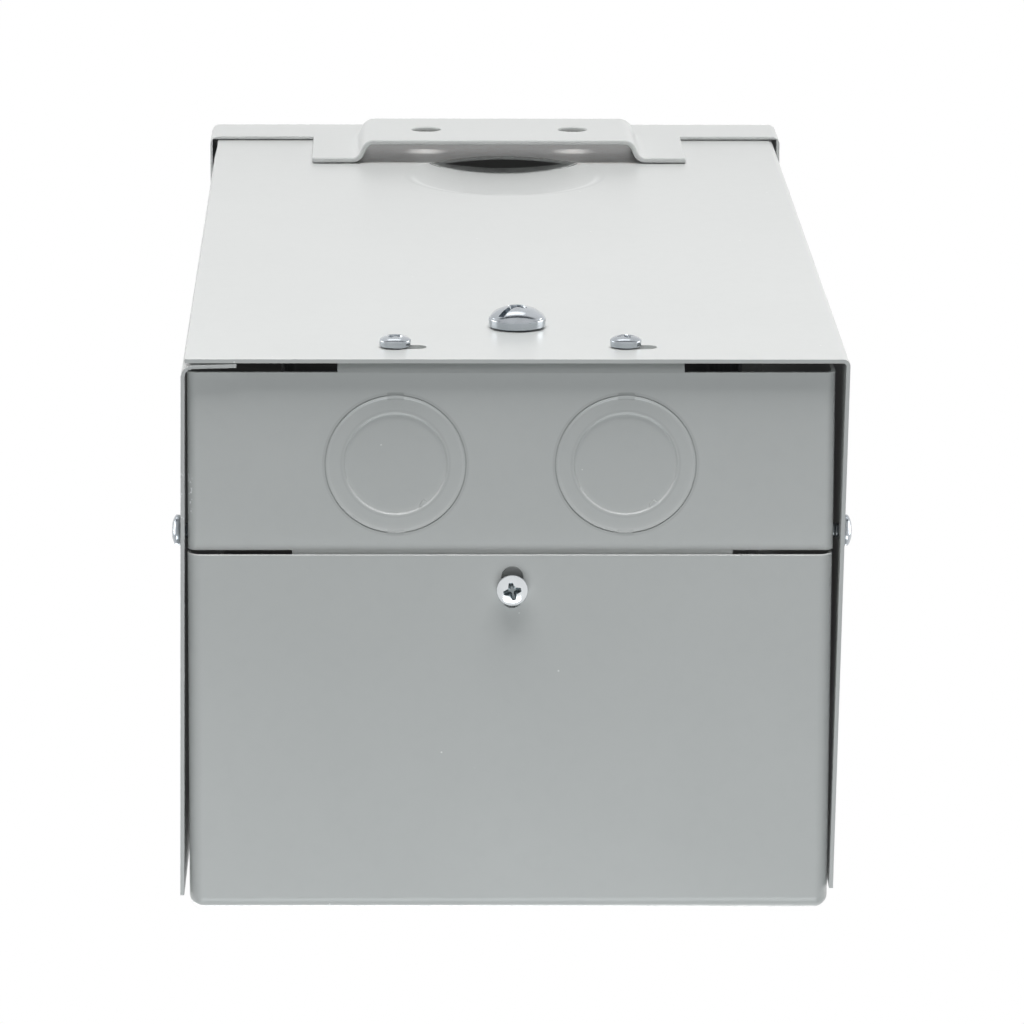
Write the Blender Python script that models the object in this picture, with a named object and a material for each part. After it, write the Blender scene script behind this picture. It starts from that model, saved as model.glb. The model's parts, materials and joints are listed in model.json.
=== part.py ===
"""Manual transfer switch in an outdoor sheet-steel enclosure, as separate named pieces.

Metres, +Z up. The origin is the middle of the hanger strap's outer face, which lies on the wall.
+Y points into the wall, the front cover faces -Y, and +X is to the right seen from the front.
"""

import math

import bmesh
import bpy
from mathutils import Matrix, Vector

# Sheet and clearances
SHEET = 0.0010
STRAP_SHEET = 0.0015
GAP = 0.0003

# Enclosure
HALF_WIDTH = 0.084
RIGHT_WALL_X = 0.0842
BACK_EDGE_X = 0.0832
BACK_Y = -0.0071
BOTTOM_Z = -0.314
TOP_Z = 0.046
WALL_TOP_Z = TOP_Z - SHEET - GAP
BEND = 0.0030
WRAP_BEND = 0.0018
LEFT_WALL_DEPTH = 0.1378
RIGHT_WALL_DEPTH = 0.1396
LEFT_WALL_LEAN = -0.0024
RIGHT_WALL_LEAN = 0.0010
LIP = 0.014
INNER_Y = BACK_Y - SHEET

# Hood
HOOD_LENGTH = 0.024
HOOD_LEFT_X = -0.0860
HOOD_RIGHT_X = 0.0856
HOOD_BACK_Y = BACK_Y + GAP + SHEET

# Bottom end wall
END_LEFT_X = -0.0805
END_RIGHT_X = 0.0828
END_Z = BOTTOM_Z + 0.0023
END_LOW_Y = BACK_Y - 0.0496
WING_TOP_Y = BACK_Y - 0.0038
TONGUE_LEFT_X = -0.0550
TONGUE_RIGHT_X = 0.0564
TONGUE_LOW_Y = BACK_Y - 0.0695
RISER_LEFT_X = -0.0424
RISER_RIGHT_X = 0.0449
RISER_FLANGE = 0.0270
END_FLANGE = 0.0180
KNOCKOUT_XS = (-0.0278, 0.0303)
KNOCKOUT_Y = BACK_Y - 0.0274
KNOCKOUT_OUTER_R = 0.01775
KNOCKOUT_INNER_R = 0.0131

# Front cover
COVER_LEFT_X = -0.0803
COVER_RIGHT_X = 0.0829
COVER_Y = BACK_Y - 0.1437
COVER_SEAM_Y = BACK_Y - 0.0505
COVER_Z = BOTTOM_Z + 0.0006
COVER_TOP_Z = TOP_Z - SHEET - 2 * GAP
COVER_RADIUS = 0.0035
COVER_FLANGE = 0.020
COVER_SCREW_X = 0.0008
COVER_SLOT_Y = BACK_Y - 0.0589
COVER_SCREW_Y = BACK_Y - 0.0593

# Window, pocket and door
PANEL_Z = -0.146
WINDOW_HALF_X = 0.054
WINDOW_HALF_Z = 0.068
RIM = 0.003
DOOR_HALF_X = 0.062
DOOR_LOW_Z = -0.240
DOOR_HIGH_Z = -0.064
DOOR_DEPTH = 0.0077
DOOR_Y = COVER_Y - DOOR_DEPTH
HINGE_Y = COVER_Y - 0.0037
HINGE_Z = DOOR_HIGH_Z + 0.0030
KNUCKLE_R = 0.0027
PIN_R = 0.0015
PIN_CLEARANCE = 0.00015
FIXED_KNUCKLES = ((-0.056, -0.044), (-0.012, 0.012), (0.044, 0.056))
DOOR_KNUCKLES = ((-0.0434, -0.0126), (0.0126, 0.0434))
STAPLE_Z = -0.2265
STAPLE_HOLE_R = 0.0036
STAPLE_REACH = 0.0172

# Dead front, breakers and interlock
DEAD_FRONT_Y = -0.1240
DEAD_FRONT_SCREW_X = 0.0470
BREAKER_PITCH = 0.080
BREAKER_HALF_X = 0.0253
BREAKER_LENGTH = 0.078
BREAKER_BACK_Y = -0.0600
BREAKER_SHOULDER_Y = DEAD_FRONT_Y + SHEET + GAP
NOSE_Y = DEAD_FRONT_Y - 0.0035
NOSE_HALF_Z = 0.022
TOGGLE_Y = -0.1185
TOGGLE_R = 0.0070
TOGGLE_REACH = 0.0215
TOGGLE_HALF_X = 0.0200
TOGGLE_THICK = 0.0050
TOGGLE_SWING = math.radians(44.0)
SLIDER_Y = -0.1315
SLIDE_TRAVEL = 2 * (TOGGLE_Y - SLIDER_Y) * math.tan(TOGGLE_SWING / 2)
SLIDER_SHEET = 0.0016
SLIDER_HALF_X = 0.038
SLIDER_RIVET_X = 0.0310

# Mounting pan
PAN_Y = -0.0500
PAN_HALF_X = 0.060
PAN_FOOT_XS = (-0.074, 0.068)
PAN_LOW_Z = -0.255
PAN_HIGH_Z = -0.024

# Insulating base, and the load straps in its channels: name, pole x, back of the strap, height of its branch
POLE_X = 0.0127
BASE_HALF_X = 0.034
BASE_HALF_Z = 0.080
BUS_LAYOUT = (("a", -POLE_X, -0.0535, -0.012), ("b", POLE_X, -0.0572, 0.012))
BUS_THICK = 0.0016
BUS_HALF = 0.004
BUS_REACH = 0.050
BUS_CHANNEL_Y = -0.070

# Terminals
LOAD_LUG_SIZE = (0.012, 0.012, 0.011)
LINE_LUG_SIZE = (0.012, 0.013, 0.013)
LINE_LUG_Y = -0.0880
LUG_BORE_R = 0.0030
NEUTRAL_X = -0.0455
NEUTRAL_HALF_Z = 0.036
NEUTRAL_PITCH = 0.020
BAR_HALF = 0.005
GROUND_BAR_HALF_X = 0.030
GROUND_BAR_HALF_Z = 0.006
GROUND_BAR_THICK = 0.0090
GROUND_BAR_PITCH = 0.020

# Strap
STRAP_HALF_Z = 0.020
STRAP_FOOT_XS = (-0.0558, 0.0545)
STRAP_HEEL_XS = (-0.0419, 0.0407)
STRAP_TOP_XS = (-0.0395, 0.0383)
STRAP_BEND = 0.0038
STRAP_HOLE_XS = (-0.0228, 0.0208)
STRAP_HOLE_R = 0.0043

# Vent scoop in the back wall
SCOOP_X = -0.0020
SCOOP_Z = -0.0400
SCOOP_HALF_X = 0.0285
SCOOP_HALF_Z = 0.0340
SCOOP_DEPTH = 0.0036
SCOOP_SHEAR_ANGLE = math.radians(129.5)
SCOOP_RAMP = 0.24

# Screws
PAN_HEAD_R = 0.0040
PAN_HEAD_HIGH = 0.0031
SIDE_HEAD_HIGH = 0.0025
SCREW_R = 0.0020
TRUSS_HEAD_R = 0.00735
TRUSS_HEAD_HIGH = 0.0058
TRUSS_SCREW_R = 0.0031
BACK_SCREW_XS = (-0.0280, 0.0304)
BACK_SCREW_Z = BOTTOM_Z + 0.0160
BACK_SLOT_SHIFT = 0.0028
BACK_SLOT_HALF = 0.0052
SLOT_R = 0.0026
SHANK_CLEARANCE = 0.0005
SCREW_LENGTH = 0.0100
GROUND_SCREW_X = -0.0010
GROUND_SCREW_Z = BOTTOM_Z + 0.0420
SIDE_SCREW_Y = BACK_Y - 0.0463
SIDE_SCREW_Z = BOTTOM_Z + 0.0105


# ---------------------------------------------------------------- scene and materials


def clear_scene():
    for obj in list(bpy.data.objects):
        bpy.data.objects.remove(obj, do_unlink=True)


def make_material(name, colour, roughness, metallic):
    material = bpy.data.materials.new(name)
    material.use_nodes = True
    shader = material.node_tree.nodes["Principled BSDF"]
    shader.inputs["Base Color"].default_value = (*colour, 1.0)
    shader.inputs["Roughness"].default_value = roughness
    shader.inputs["Metallic"].default_value = metallic
    return material


def make_materials():
    return {
        "paint": make_material("paint", (0.56, 0.58, 0.57), 0.45, 0.0),
        "zinc": make_material("zinc", (0.72, 0.73, 0.75), 0.28, 1.0),
        "steel": make_material("steel", (0.55, 0.55, 0.56), 0.35, 1.0),
        "black_plastic": make_material("black_plastic", (0.025, 0.025, 0.028), 0.45, 0.0),
        "handle_plastic": make_material("handle_plastic", (0.04, 0.04, 0.042), 0.35, 0.0),
        "base_plastic": make_material("base_plastic", (0.09, 0.05, 0.035), 0.55, 0.0),
        "red_plate": make_material("red_plate", (0.55, 0.06, 0.04), 0.40, 0.0),
        "aluminium": make_material("aluminium", (0.78, 0.79, 0.80), 0.35, 1.0),
        "copper": make_material("copper", (0.85, 0.45, 0.30), 0.30, 1.0),
    }


# ---------------------------------------------------------------- shape helpers


def add_object(name, bm, material=None):
    """A mesh object from a bmesh. Without a material it is a helper, which only cuts or joins."""
    bmesh.ops.recalc_face_normals(bm, faces=bm.faces)
    mesh = bpy.data.meshes.new(name)
    bm.to_mesh(mesh)
    bm.free()
    obj = bpy.data.objects.new(name, mesh)
    bpy.context.scene.collection.objects.link(obj)
    if material is None:
        obj.hide_render = True
        obj.display_type = "WIRE"
        return obj
    mesh.materials.append(material)
    mesh.shade_smooth()
    mesh.set_sharp_from_angle(angle=math.radians(35))
    return obj


def combine(obj, helper, operation):
    modifier = obj.modifiers.new(helper.name, "BOOLEAN")
    modifier.operation = operation
    modifier.solver = "EXACT"
    modifier.object = helper
    helper.parent = obj
    return obj


def cut(obj, bm):
    return combine(obj, add_object(obj.name + "_cutter", bm), "DIFFERENCE")


def join(obj, bm):
    return combine(obj, add_object(obj.name + "_added", bm), "UNION")


def placed(along, a, b, c):
    """A point from two outline coordinates and one along the axis: (y, z), (x, z) or (x, y) and the rest."""
    return {"X": (c, a, b), "Y": (a, c, b), "Z": (a, b, c)}[along]


def extrude(bm, outline, along, stations):
    """Adds a closed prism through two or more stations along an axis."""
    rings = [[bm.verts.new(placed(along, a, b, c)) for a, b in outline] for c in stations]
    count = len(outline)
    bm.faces.new(rings[0])
    bm.faces.new(rings[-1])
    for low, high in zip(rings, rings[1:]):
        for i in range(count):
            j = (i + 1) % count
            bm.faces.new((low[i], low[j], high[j], high[i]))
    return bm


def box(bm, low, high, radius=0.0, steps=2):
    """Adds a box between two corners, with all its edges rounded if a radius is given."""
    sizes = [h - l for l, h in zip(low, high)]
    middle = [(l + h) / 2 for l, h in zip(low, high)]
    matrix = Matrix.Translation(middle) @ Matrix.Diagonal((*sizes, 1.0))
    made = bmesh.ops.create_cube(bm, size=1.0, matrix=matrix)
    if radius > 0.0:
        edges = list({e for v in made["verts"] for e in v.link_edges})
        bmesh.ops.bevel(bm, geom=edges, offset=radius, segments=steps, profile=0.5, affect="EDGES")
    return bm


def turned(bm, profile, centre, axis, sides=16):
    """Adds a body of revolution. The profile's pairs are (radius, height along the axis)."""
    turn = Vector((0, 0, 1)).rotation_difference(Vector(axis)).to_matrix()
    rings = []
    for radius, height in profile:
        if radius == 0.0:
            rings.append([bm.verts.new(turn @ Vector((0, 0, height)) + Vector(centre))])
            continue
        ring = []
        for i in range(sides):
            angle = 2 * math.pi * i / sides
            point = Vector((radius * math.cos(angle), radius * math.sin(angle), height))
            ring.append(bm.verts.new(turn @ point + Vector(centre)))
        rings.append(ring)
    for first, second in zip(rings, rings[1:]):
        for i in range(sides):
            j = (i + 1) % sides
            corners = [first[i % len(first)], first[j % len(first)]]
            corners += [second[j % len(second)], second[i % len(second)]]
            bm.faces.new(list(dict.fromkeys(corners)))
    return bm


def cylinder(bm, centre, axis, radius, low, high, sides=16):
    return turned(bm, ((0.0, low), (radius, low), (radius, high), (0.0, high)), centre, axis, sides)


def obround(centre, half_length, radius, vertical, steps=6):
    """The outline of a slot with round ends, half_length from its centre to each end's tip."""
    points = []
    reach = half_length - radius
    for sign in (1, -1):
        for i in range(steps + 1):
            angle = math.pi * (i / steps - 0.5)
            along = sign * (reach + radius * math.cos(angle))
            across = sign * radius * math.sin(angle)
            offset = (-across, along) if vertical else (along, across)
            points.append((centre[0] + offset[0], centre[1] + offset[1]))
    return points


def bent_outline(path, thickness, radius, steps=3):
    """The closed outline of a sheet bent along a path, which is the middle of its thickness."""
    line = [Vector(p) for p in path]
    marks = [(line[0], normal_of(line[0], line[1]))]
    for before, corner, after in zip(line, line[1:], line[2:]):
        marks += bend_marks(before, corner, after, radius, steps)
    marks.append((line[-1], normal_of(line[-2], line[-1])))
    half = thickness / 2
    outer = [tuple(point + normal * half) for point, normal in marks]
    inner = [tuple(point - normal * half) for point, normal in marks]
    return outer + inner[::-1]


def normal_of(start, end):
    direction = (end - start).normalized()
    return Vector((-direction.y, direction.x))


def bend_marks(before, corner, after, radius, steps):
    """Points and normals along the arc that rounds one corner."""
    arriving = (corner - before).normalized()
    leaving = (after - corner).normalized()
    turn = arriving.angle_signed(leaving, 0.0)
    side = -1.0 if turn > 0 else 1.0
    reach = radius * math.tan(abs(turn) / 2)
    start = corner - arriving * reach
    centre = start + normal_of(before, corner) * radius * side
    marks = []
    for i in range(steps + 1):
        part = turn * i / steps
        normal = normal_of(before, corner)
        normal.rotate(Matrix.Rotation(-part, 2))
        marks.append((centre - normal * radius * side, normal))
    return marks


def bent_sheet(name, path, along, stations, material, thickness=SHEET, bend=BEND, steps=3):
    """A sheet bent along a path. The bend is its outer radius."""
    bm = bmesh.new()
    outline = bent_outline(path, thickness, bend - thickness / 2, steps)
    return add_object(name, extrude(bm, outline, along, stations), material)


# ---------------------------------------------------------------- enclosure sheets


def lean_wall(obj, side, depth, lean):
    """Springs a side wall's front edge outwards by lean at the bottom end, fading out at the hood."""
    for vertex in obj.data.vertices:
        down = (BACK_Y - vertex.co.y) / depth
        free = (WALL_TOP_Z - vertex.co.z) / (WALL_TOP_Z - BOTTOM_Z)
        if vertex.co.x * side > HALF_WIDTH - BEND:
            vertex.co.x += side * lean * max(0.0, down) * free


def scoop_surface(u, v):
    """A point of the scoop at u across, from -1 to 1, and v along, from 0 near to 1 at the shear."""
    angle = v * SCOOP_SHEAR_ANGLE
    edge_x = SCOOP_HALF_X * math.sin(angle)
    edge_z = SCOOP_Z - SCOOP_HALF_Z * math.cos(angle)
    middle_z = SCOOP_Z - SCOOP_HALF_Z + 2 * SCOOP_HALF_Z * v
    crown = 1 - u * u
    z = edge_z + (middle_z - edge_z) * crown
    fall = 0.78 * math.sin(min(1.0, v / SCOOP_RAMP) * math.pi / 2) ** 2 + 0.22 * v
    return SCOOP_X + edge_x * u, z, SCOOP_DEPTH * fall * crown ** 1.25


def scoop_solid(bm, flat_y, drop, columns=12, rows=12):
    """Adds the solid between a plane of constant y and the scoop's surface moved in by drop."""
    flat, curved = [], []
    for row in range(rows + 1):
        v = 0.02 + 0.98 * row / rows
        for column in range(columns + 1):
            x, z, depth = scoop_surface(2 * column / columns - 1, v)
            flat.append(bm.verts.new((x, flat_y, z)))
            curved.append(bm.verts.new((x, BACK_Y - depth - drop, z)))
    wide = columns + 1
    for row in range(rows):
        for column in range(columns):
            i = row * wide + column
            for grid in (flat, curved):
                bm.faces.new((grid[i], grid[i + 1], grid[i + wide + 1], grid[i + wide]))
    rim = list(range(wide)) + [wide * r + columns for r in range(1, rows + 1)]
    rim += [wide * rows + c for c in range(columns - 1, -1, -1)]
    rim += [wide * r for r in range(rows - 1, 0, -1)]
    for i, j in zip(rim, rim[1:] + rim[:1]):
        bm.faces.new((flat[i], flat[j], curved[j], curved[i]))
    return bm


def back_wrap(materials):
    """Back wall and left side wall in one sheet, with the vent scoop and the screw slots."""
    middle_y = BACK_Y - SHEET / 2
    path = (
        (BACK_EDGE_X, middle_y),
        (-HALF_WIDTH + SHEET / 2, middle_y),
        (-HALF_WIDTH + SHEET / 2, BACK_Y - LEFT_WALL_DEPTH),
    )
    obj = bent_sheet("back_wrap", path, "Z", (BOTTOM_Z, WALL_TOP_Z), materials["paint"], bend=WRAP_BEND)
    lean_wall(obj, -1, LEFT_WALL_DEPTH, LEFT_WALL_LEAN)
    join(obj, scoop_solid(bmesh.new(), middle_y, SHEET + 0.00001))
    cut(obj, scoop_solid(bmesh.new(), BACK_Y + 0.001, 0.00001))
    holes = bmesh.new()
    through = (BACK_Y + 0.002, BACK_Y - 0.004)
    for x in BACK_SCREW_XS:
        slot = obround((x - BACK_SLOT_SHIFT, BACK_SCREW_Z), BACK_SLOT_HALF, SLOT_R, False)
        extrude(holes, slot, "Y", through)
    truss_hole_r = TRUSS_SCREW_R + SHANK_CLEARANCE
    cylinder(holes, (GROUND_SCREW_X, BACK_Y, GROUND_SCREW_Z), (0, 1, 0), truss_hole_r, -0.004, 0.002)
    side = (-HALF_WIDTH, SIDE_SCREW_Y, SIDE_SCREW_Z)
    cylinder(holes, side, (1, 0, 0), SCREW_R + SHANK_CLEARANCE, -0.003, 0.005)
    return cut(obj, holes)


def right_side_wall(materials):
    """Right side wall, with a lip that lies under the back wall's edge."""
    lip_y = INNER_Y - GAP - SHEET / 2
    wall_x = RIGHT_WALL_X - SHEET / 2
    path = (
        (RIGHT_WALL_X - LIP, lip_y + 0.00005),
        (wall_x, lip_y - 0.0003),
        (wall_x, BACK_Y - RIGHT_WALL_DEPTH),
    )
    obj = bent_sheet("right_side_wall", path, "Z", (BOTTOM_Z, WALL_TOP_Z), materials["paint"])
    lean_wall(obj, 1, RIGHT_WALL_DEPTH, RIGHT_WALL_LEAN)
    side = (RIGHT_WALL_X, SIDE_SCREW_Y, SIDE_SCREW_Z)
    hole = cylinder(bmesh.new(), side, (1, 0, 0), SCREW_R + SHANK_CLEARANCE, -0.005, 0.003)
    return cut(obj, hole)


def top_hood(materials):
    """Rain hood: a cap over the top end whose flanges lie outside the walls and the cover."""
    low_z = TOP_Z - HOOD_LENGTH
    front_y = COVER_Y - 2 * GAP - SHEET
    outer = box(bmesh.new(), (HOOD_LEFT_X, front_y, low_z - BEND), (HOOD_RIGHT_X, HOOD_BACK_Y, TOP_Z), 0.002)
    obj = add_object("top_hood", outer, materials["paint"])
    inner = bmesh.new()
    low = (HOOD_LEFT_X + SHEET, front_y + SHEET, low_z - 2 * BEND)
    high = (HOOD_RIGHT_X - SHEET, HOOD_BACK_Y - SHEET, TOP_Z - SHEET)
    box(inner, low, high)
    cut(obj, inner)
    trim = box(bmesh.new(), (-0.1, -0.2, low_z - 0.02), (0.1, 0.02, low_z))
    return cut(obj, trim)


def hanger_strap(materials):
    """Hat-section strap on the back wall. Its outer face is the wall plane."""
    foot_y = BACK_Y + GAP + STRAP_SHEET / 2
    top_y = -STRAP_SHEET / 2
    path = (
        (STRAP_FOOT_XS[0], foot_y),
        (STRAP_HEEL_XS[0], foot_y),
        (STRAP_TOP_XS[0], top_y),
        (STRAP_TOP_XS[1], top_y),
        (STRAP_HEEL_XS[1], foot_y),
        (STRAP_FOOT_XS[1], foot_y),
    )
    stations = (-STRAP_HALF_Z, STRAP_HALF_Z)
    obj = bent_sheet("hanger_strap", path, "Z", stations, materials["paint"], STRAP_SHEET, STRAP_BEND, 4)
    holes = bmesh.new()
    for x in STRAP_HOLE_XS:
        cylinder(holes, (x, 0, 0), (0, 1, 0), STRAP_HOLE_R, -0.004, 0.002, 32)
    return cut(obj, holes)


# ---------------------------------------------------------------- bottom end wall


def knockout_profile(drop):
    """Half section of a dished concentric knockout, as radius and depth from the wall's outer face."""
    return (
        (0.0, 0.00110 + drop),
        (KNOCKOUT_INNER_R - 0.0008, 0.00110 + drop),
        (KNOCKOUT_INNER_R, 0.00045 + drop),
        (KNOCKOUT_OUTER_R - 0.0012, 0.00030 + drop),
        (KNOCKOUT_OUTER_R, 0.0 + drop),
    )


def bottom_end_wall(materials):
    """End plate with a raised middle flange, lower wings, side flanges, a tongue and two knockouts."""
    low = (END_LEFT_X, END_LOW_Y - 0.01, END_Z)
    high = (END_RIGHT_X, WING_TOP_Y + 0.01, END_Z + END_FLANGE + 0.01)
    obj = add_object("bottom_end_wall", box(bmesh.new(), low, high, 0.0025, 3), materials["paint"])
    inner = bmesh.new()
    low = (END_LEFT_X + SHEET, END_LOW_Y - 0.03, END_Z + SHEET)
    high = (END_RIGHT_X - SHEET, WING_TOP_Y + 0.02, END_Z + END_FLANGE + 0.03)
    box(inner, low, high, 0.0015, 1)
    cut(obj, inner)
    trim = bmesh.new()
    box(trim, (-0.1, END_LOW_Y - 0.03, END_Z - 0.01), (0.1, END_LOW_Y, END_Z + 0.06))
    cut(obj, trim)
    above = bmesh.new()
    box(above, (-0.1, WING_TOP_Y, END_Z - 0.01), (0.1, WING_TOP_Y + 0.03, END_Z + 0.06))
    cut(obj, above)
    back = bmesh.new()
    box(back, (-0.1, END_LOW_Y - 0.04, END_Z + END_FLANGE), (0.1, 0.0, END_Z + 0.06))
    cut(obj, back)
    join(obj, end_riser(WING_TOP_Y - 0.002))
    join(obj, end_tongue())
    add_knockouts(obj)
    return drill_end_wall(obj)


def end_riser(low_y):
    """The middle of the end wall, which rises under the back wall and turns in as a long flange."""
    riser_y = INNER_Y - GAP - SHEET / 2
    middle_z = END_Z + SHEET / 2
    path = ((riser_y, END_Z + RISER_FLANGE), (riser_y, middle_z), (low_y, middle_z))
    outline = bent_outline(path, SHEET, BEND - SHEET / 2)
    return extrude(bmesh.new(), outline, "X", (RISER_LEFT_X, RISER_RIGHT_X))


def end_tongue():
    low = (TONGUE_LEFT_X, TONGUE_LOW_Y, END_Z)
    high = (TONGUE_RIGHT_X, END_LOW_Y + 0.004, END_Z + SHEET)
    return box(bmesh.new(), low, high)


def add_knockouts(obj):
    """Dishes both knockouts into the plate: the inner side first, then the outer side."""
    raised = bmesh.new()
    sunk = bmesh.new()
    middle = SHEET * 0.5
    for x in KNOCKOUT_XS:
        centre = (x, KNOCKOUT_Y, END_Z)
        inner = knockout_profile(SHEET + 0.00001)
        turned(raised, inner + ((KNOCKOUT_OUTER_R, middle), (0.0, middle)), centre, (0, 0, 1), 36)
        outer = knockout_profile(0.00001)
        turned(sunk, outer + ((KNOCKOUT_OUTER_R, -0.001), (0.0, -0.001)), centre, (0, 0, 1), 36)
    join(obj, raised)
    cut(obj, sunk)


def drill_end_wall(obj):
    holes = bmesh.new()
    for x in BACK_SCREW_XS:
        cylinder(holes, (x, INNER_Y, BACK_SCREW_Z), (0, 1, 0), SCREW_R + GAP, -0.005, 0.001, 16)
    cylinder(holes, (COVER_SCREW_X, COVER_SCREW_Y, END_Z), (0, 0, 1), SCREW_R + GAP, -0.002, 0.004, 16)
    for x in (END_LEFT_X, END_RIGHT_X):
        cylinder(holes, (x, SIDE_SCREW_Y, SIDE_SCREW_Z), (1, 0, 0), SCREW_R + GAP, -0.003, 0.003, 16)
    return cut(obj, holes)


# ---------------------------------------------------------------- front cover and door


def front_cover(materials):
    """Front pan. Its long bottom flange closes the end, and a rimmed window opens to the switches."""
    low = (COVER_LEFT_X, COVER_Y, COVER_Z)
    high = (COVER_RIGHT_X, COVER_SEAM_Y + 0.02, COVER_TOP_Z)
    obj = add_object("front_cover", box(bmesh.new(), low, high, COVER_RADIUS, 3), materials["paint"])
    inner = bmesh.new()
    low = (COVER_LEFT_X + SHEET, COVER_Y + SHEET, COVER_Z + SHEET)
    high = (COVER_RIGHT_X - SHEET, 0.02, COVER_TOP_Z - SHEET)
    box(inner, low, high, COVER_RADIUS - SHEET, 2)
    cut(obj, inner)
    trim = bmesh.new()
    box(trim, (-0.1, COVER_SEAM_Y, -0.5), (0.1, 0.05, 0.5))
    cut(obj, trim)
    shorten = bmesh.new()
    box(shorten, (-0.1, COVER_Y + COVER_FLANGE, COVER_Z + 0.006), (0.1, 0.06, 0.5))
    cut(obj, shorten)
    rim = bmesh.new()
    reach_x = WINDOW_HALF_X + SHEET
    reach_z = WINDOW_HALF_Z + SHEET
    low = (-reach_x, COVER_Y - RIM, PANEL_Z - reach_z)
    high = (reach_x, COVER_Y + SHEET / 2, PANEL_Z + reach_z)
    join(obj, box(rim, low, high))
    return open_cover(obj)


def open_cover(obj):
    """Cuts the window and the screw slot."""
    window = bmesh.new()
    low = (-WINDOW_HALF_X, COVER_Y - 0.01, PANEL_Z - WINDOW_HALF_Z)
    high = (WINDOW_HALF_X, COVER_Y + 0.01, PANEL_Z + WINDOW_HALF_Z)
    cut(obj, box(window, low, high))
    slot = obround((COVER_SCREW_X, COVER_SLOT_Y), 0.0053, 0.0027, True)
    return cut(obj, extrude(bmesh.new(), slot, "Z", (COVER_Z - 0.002, COVER_Z + 0.004)))


def weather_door(materials):
    """Shallow pan over the window, hinged along its top edge. Its origin is on the hinge's axis."""
    low = (-DOOR_HALF_X, DOOR_Y, DOOR_LOW_Z)
    high = (DOOR_HALF_X, COVER_Y + 0.006, DOOR_HIGH_Z)
    obj = add_object("weather_door", box(bmesh.new(), low, high, 0.0022, 2), materials["paint"])
    inner = bmesh.new()
    low = (-DOOR_HALF_X + SHEET, DOOR_Y + SHEET, DOOR_LOW_Z + SHEET)
    high = (DOOR_HALF_X - SHEET, COVER_Y + 0.02, DOOR_HIGH_Z - SHEET)
    cut(obj, box(inner, low, high))
    trim = bmesh.new()
    cut(obj, box(trim, (-0.1, COVER_Y - GAP, -0.5), (0.1, 0.05, 0.5)))
    join(obj, knuckle_solids(DOOR_KNUCKLES, (HINGE_Y - 0.0020, HINGE_Y + 0.0020), (-0.0036, -0.0010)))
    holes = bmesh.new()
    cylinder(holes, (0, HINGE_Y, HINGE_Z), (1, 0, 0), PIN_R + PIN_CLEARANCE, -0.06, 0.06, 16)
    cut(obj, holes)
    slot = bmesh.new()
    low = (-0.0019, DOOR_Y - 0.002, STAPLE_Z - 0.0080)
    high = (0.0019, DOOR_Y + 0.003, STAPLE_Z + 0.0068)
    cut(obj, box(slot, low, high))
    return move_origin(obj, (0, HINGE_Y, HINGE_Z))


def knuckle_solids(spans, link_y, link_z):
    """Hinge knuckles with the link that ties each one to its leaf."""
    bm = bmesh.new()
    for start, end in spans:
        cylinder(bm, (0, HINGE_Y, HINGE_Z), (1, 0, 0), KNUCKLE_R, start, end, 16)
    for start, end in spans:
        low = (start + 0.0002, link_y[0], HINGE_Z + link_z[0])
        high = (end - 0.0002, link_y[1], HINGE_Z + link_z[1])
        box(bm, low, high)
    return fused(bm)


def fused(bm):
    """Joins the overlapping solids of a bmesh into one surface, with the exact Boolean."""
    parts = separate_solids(bm)
    base = parts[0]
    for other in parts[1:]:
        combine(base, other, "UNION")
    bpy.context.view_layer.update()
    evaluated = base.evaluated_get(bpy.context.evaluated_depsgraph_get())
    result = bmesh.new()
    result.from_mesh(evaluated.to_mesh())
    for part in parts:
        bpy.data.objects.remove(part, do_unlink=True)
    return result


def separate_solids(bm):
    """One helper object for each connected solid."""
    groups = []
    seen = set()
    for start in bm.verts:
        if start in seen:
            continue
        group, stack = set(), [start]
        while stack:
            vertex = stack.pop()
            if vertex in group:
                continue
            group.add(vertex)
            stack += [edge.other_vert(vertex) for edge in vertex.link_edges]
        seen |= group
        groups.append(group)
    parts = []
    for group in groups:
        piece = bm.copy()
        keep = {v.index for v in group}
        drop = [v for v in piece.verts if v.index not in keep]
        bmesh.ops.delete(piece, geom=drop, context="VERTS")
        parts.append(add_object("solid", piece))
    bm.free()
    return parts


def move_origin(obj, point):
    """Puts an object's origin at a point and leaves its shape where it is."""
    for shape in (obj, *obj.children):
        shape.data.transform(Matrix.Translation(-Vector(point)))
    obj.location = point
    return obj


def hinge_leaf(materials):
    """Fixed leaf on the cover, with three knuckles."""
    low = (-0.056, COVER_Y - GAP - SHEET, HINGE_Z + 0.0026)
    high = (0.056, COVER_Y - GAP, HINGE_Z + 0.0170)
    obj = add_object("hinge_leaf", box(bmesh.new(), low, high), materials["paint"])
    join(obj, knuckle_solids(FIXED_KNUCKLES, (HINGE_Y - 0.0010, COVER_Y - GAP), (0.0002, 0.0032)))
    holes = bmesh.new()
    cylinder(holes, (0, HINGE_Y, HINGE_Z), (1, 0, 0), PIN_R + PIN_CLEARANCE, -0.06, 0.06, 16)
    for x in (-0.036, 0.036):
        cylinder(holes, (x, COVER_Y, HINGE_Z + 0.0105), (0, 1, 0), 0.0018, -0.004, 0.001, 16)
    return cut(obj, holes)


def hinge_pin(materials):
    reach = 0.0580
    profile = ((0, -reach), (0.0021, -reach), (0.0023, -reach + 0.0006), (0.0021, -reach + 0.0014))
    profile += ((PIN_R, -reach + 0.0016), (PIN_R, reach - 0.0016), (0.0021, reach - 0.0014))
    profile += ((0.0023, reach - 0.0006), (0.0021, reach), (0, reach))
    bm = turned(bmesh.new(), profile, (0, HINGE_Y, HINGE_Z), (1, 0, 0), 16)
    return add_object("hinge_pin", bm, materials["zinc"])


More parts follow.
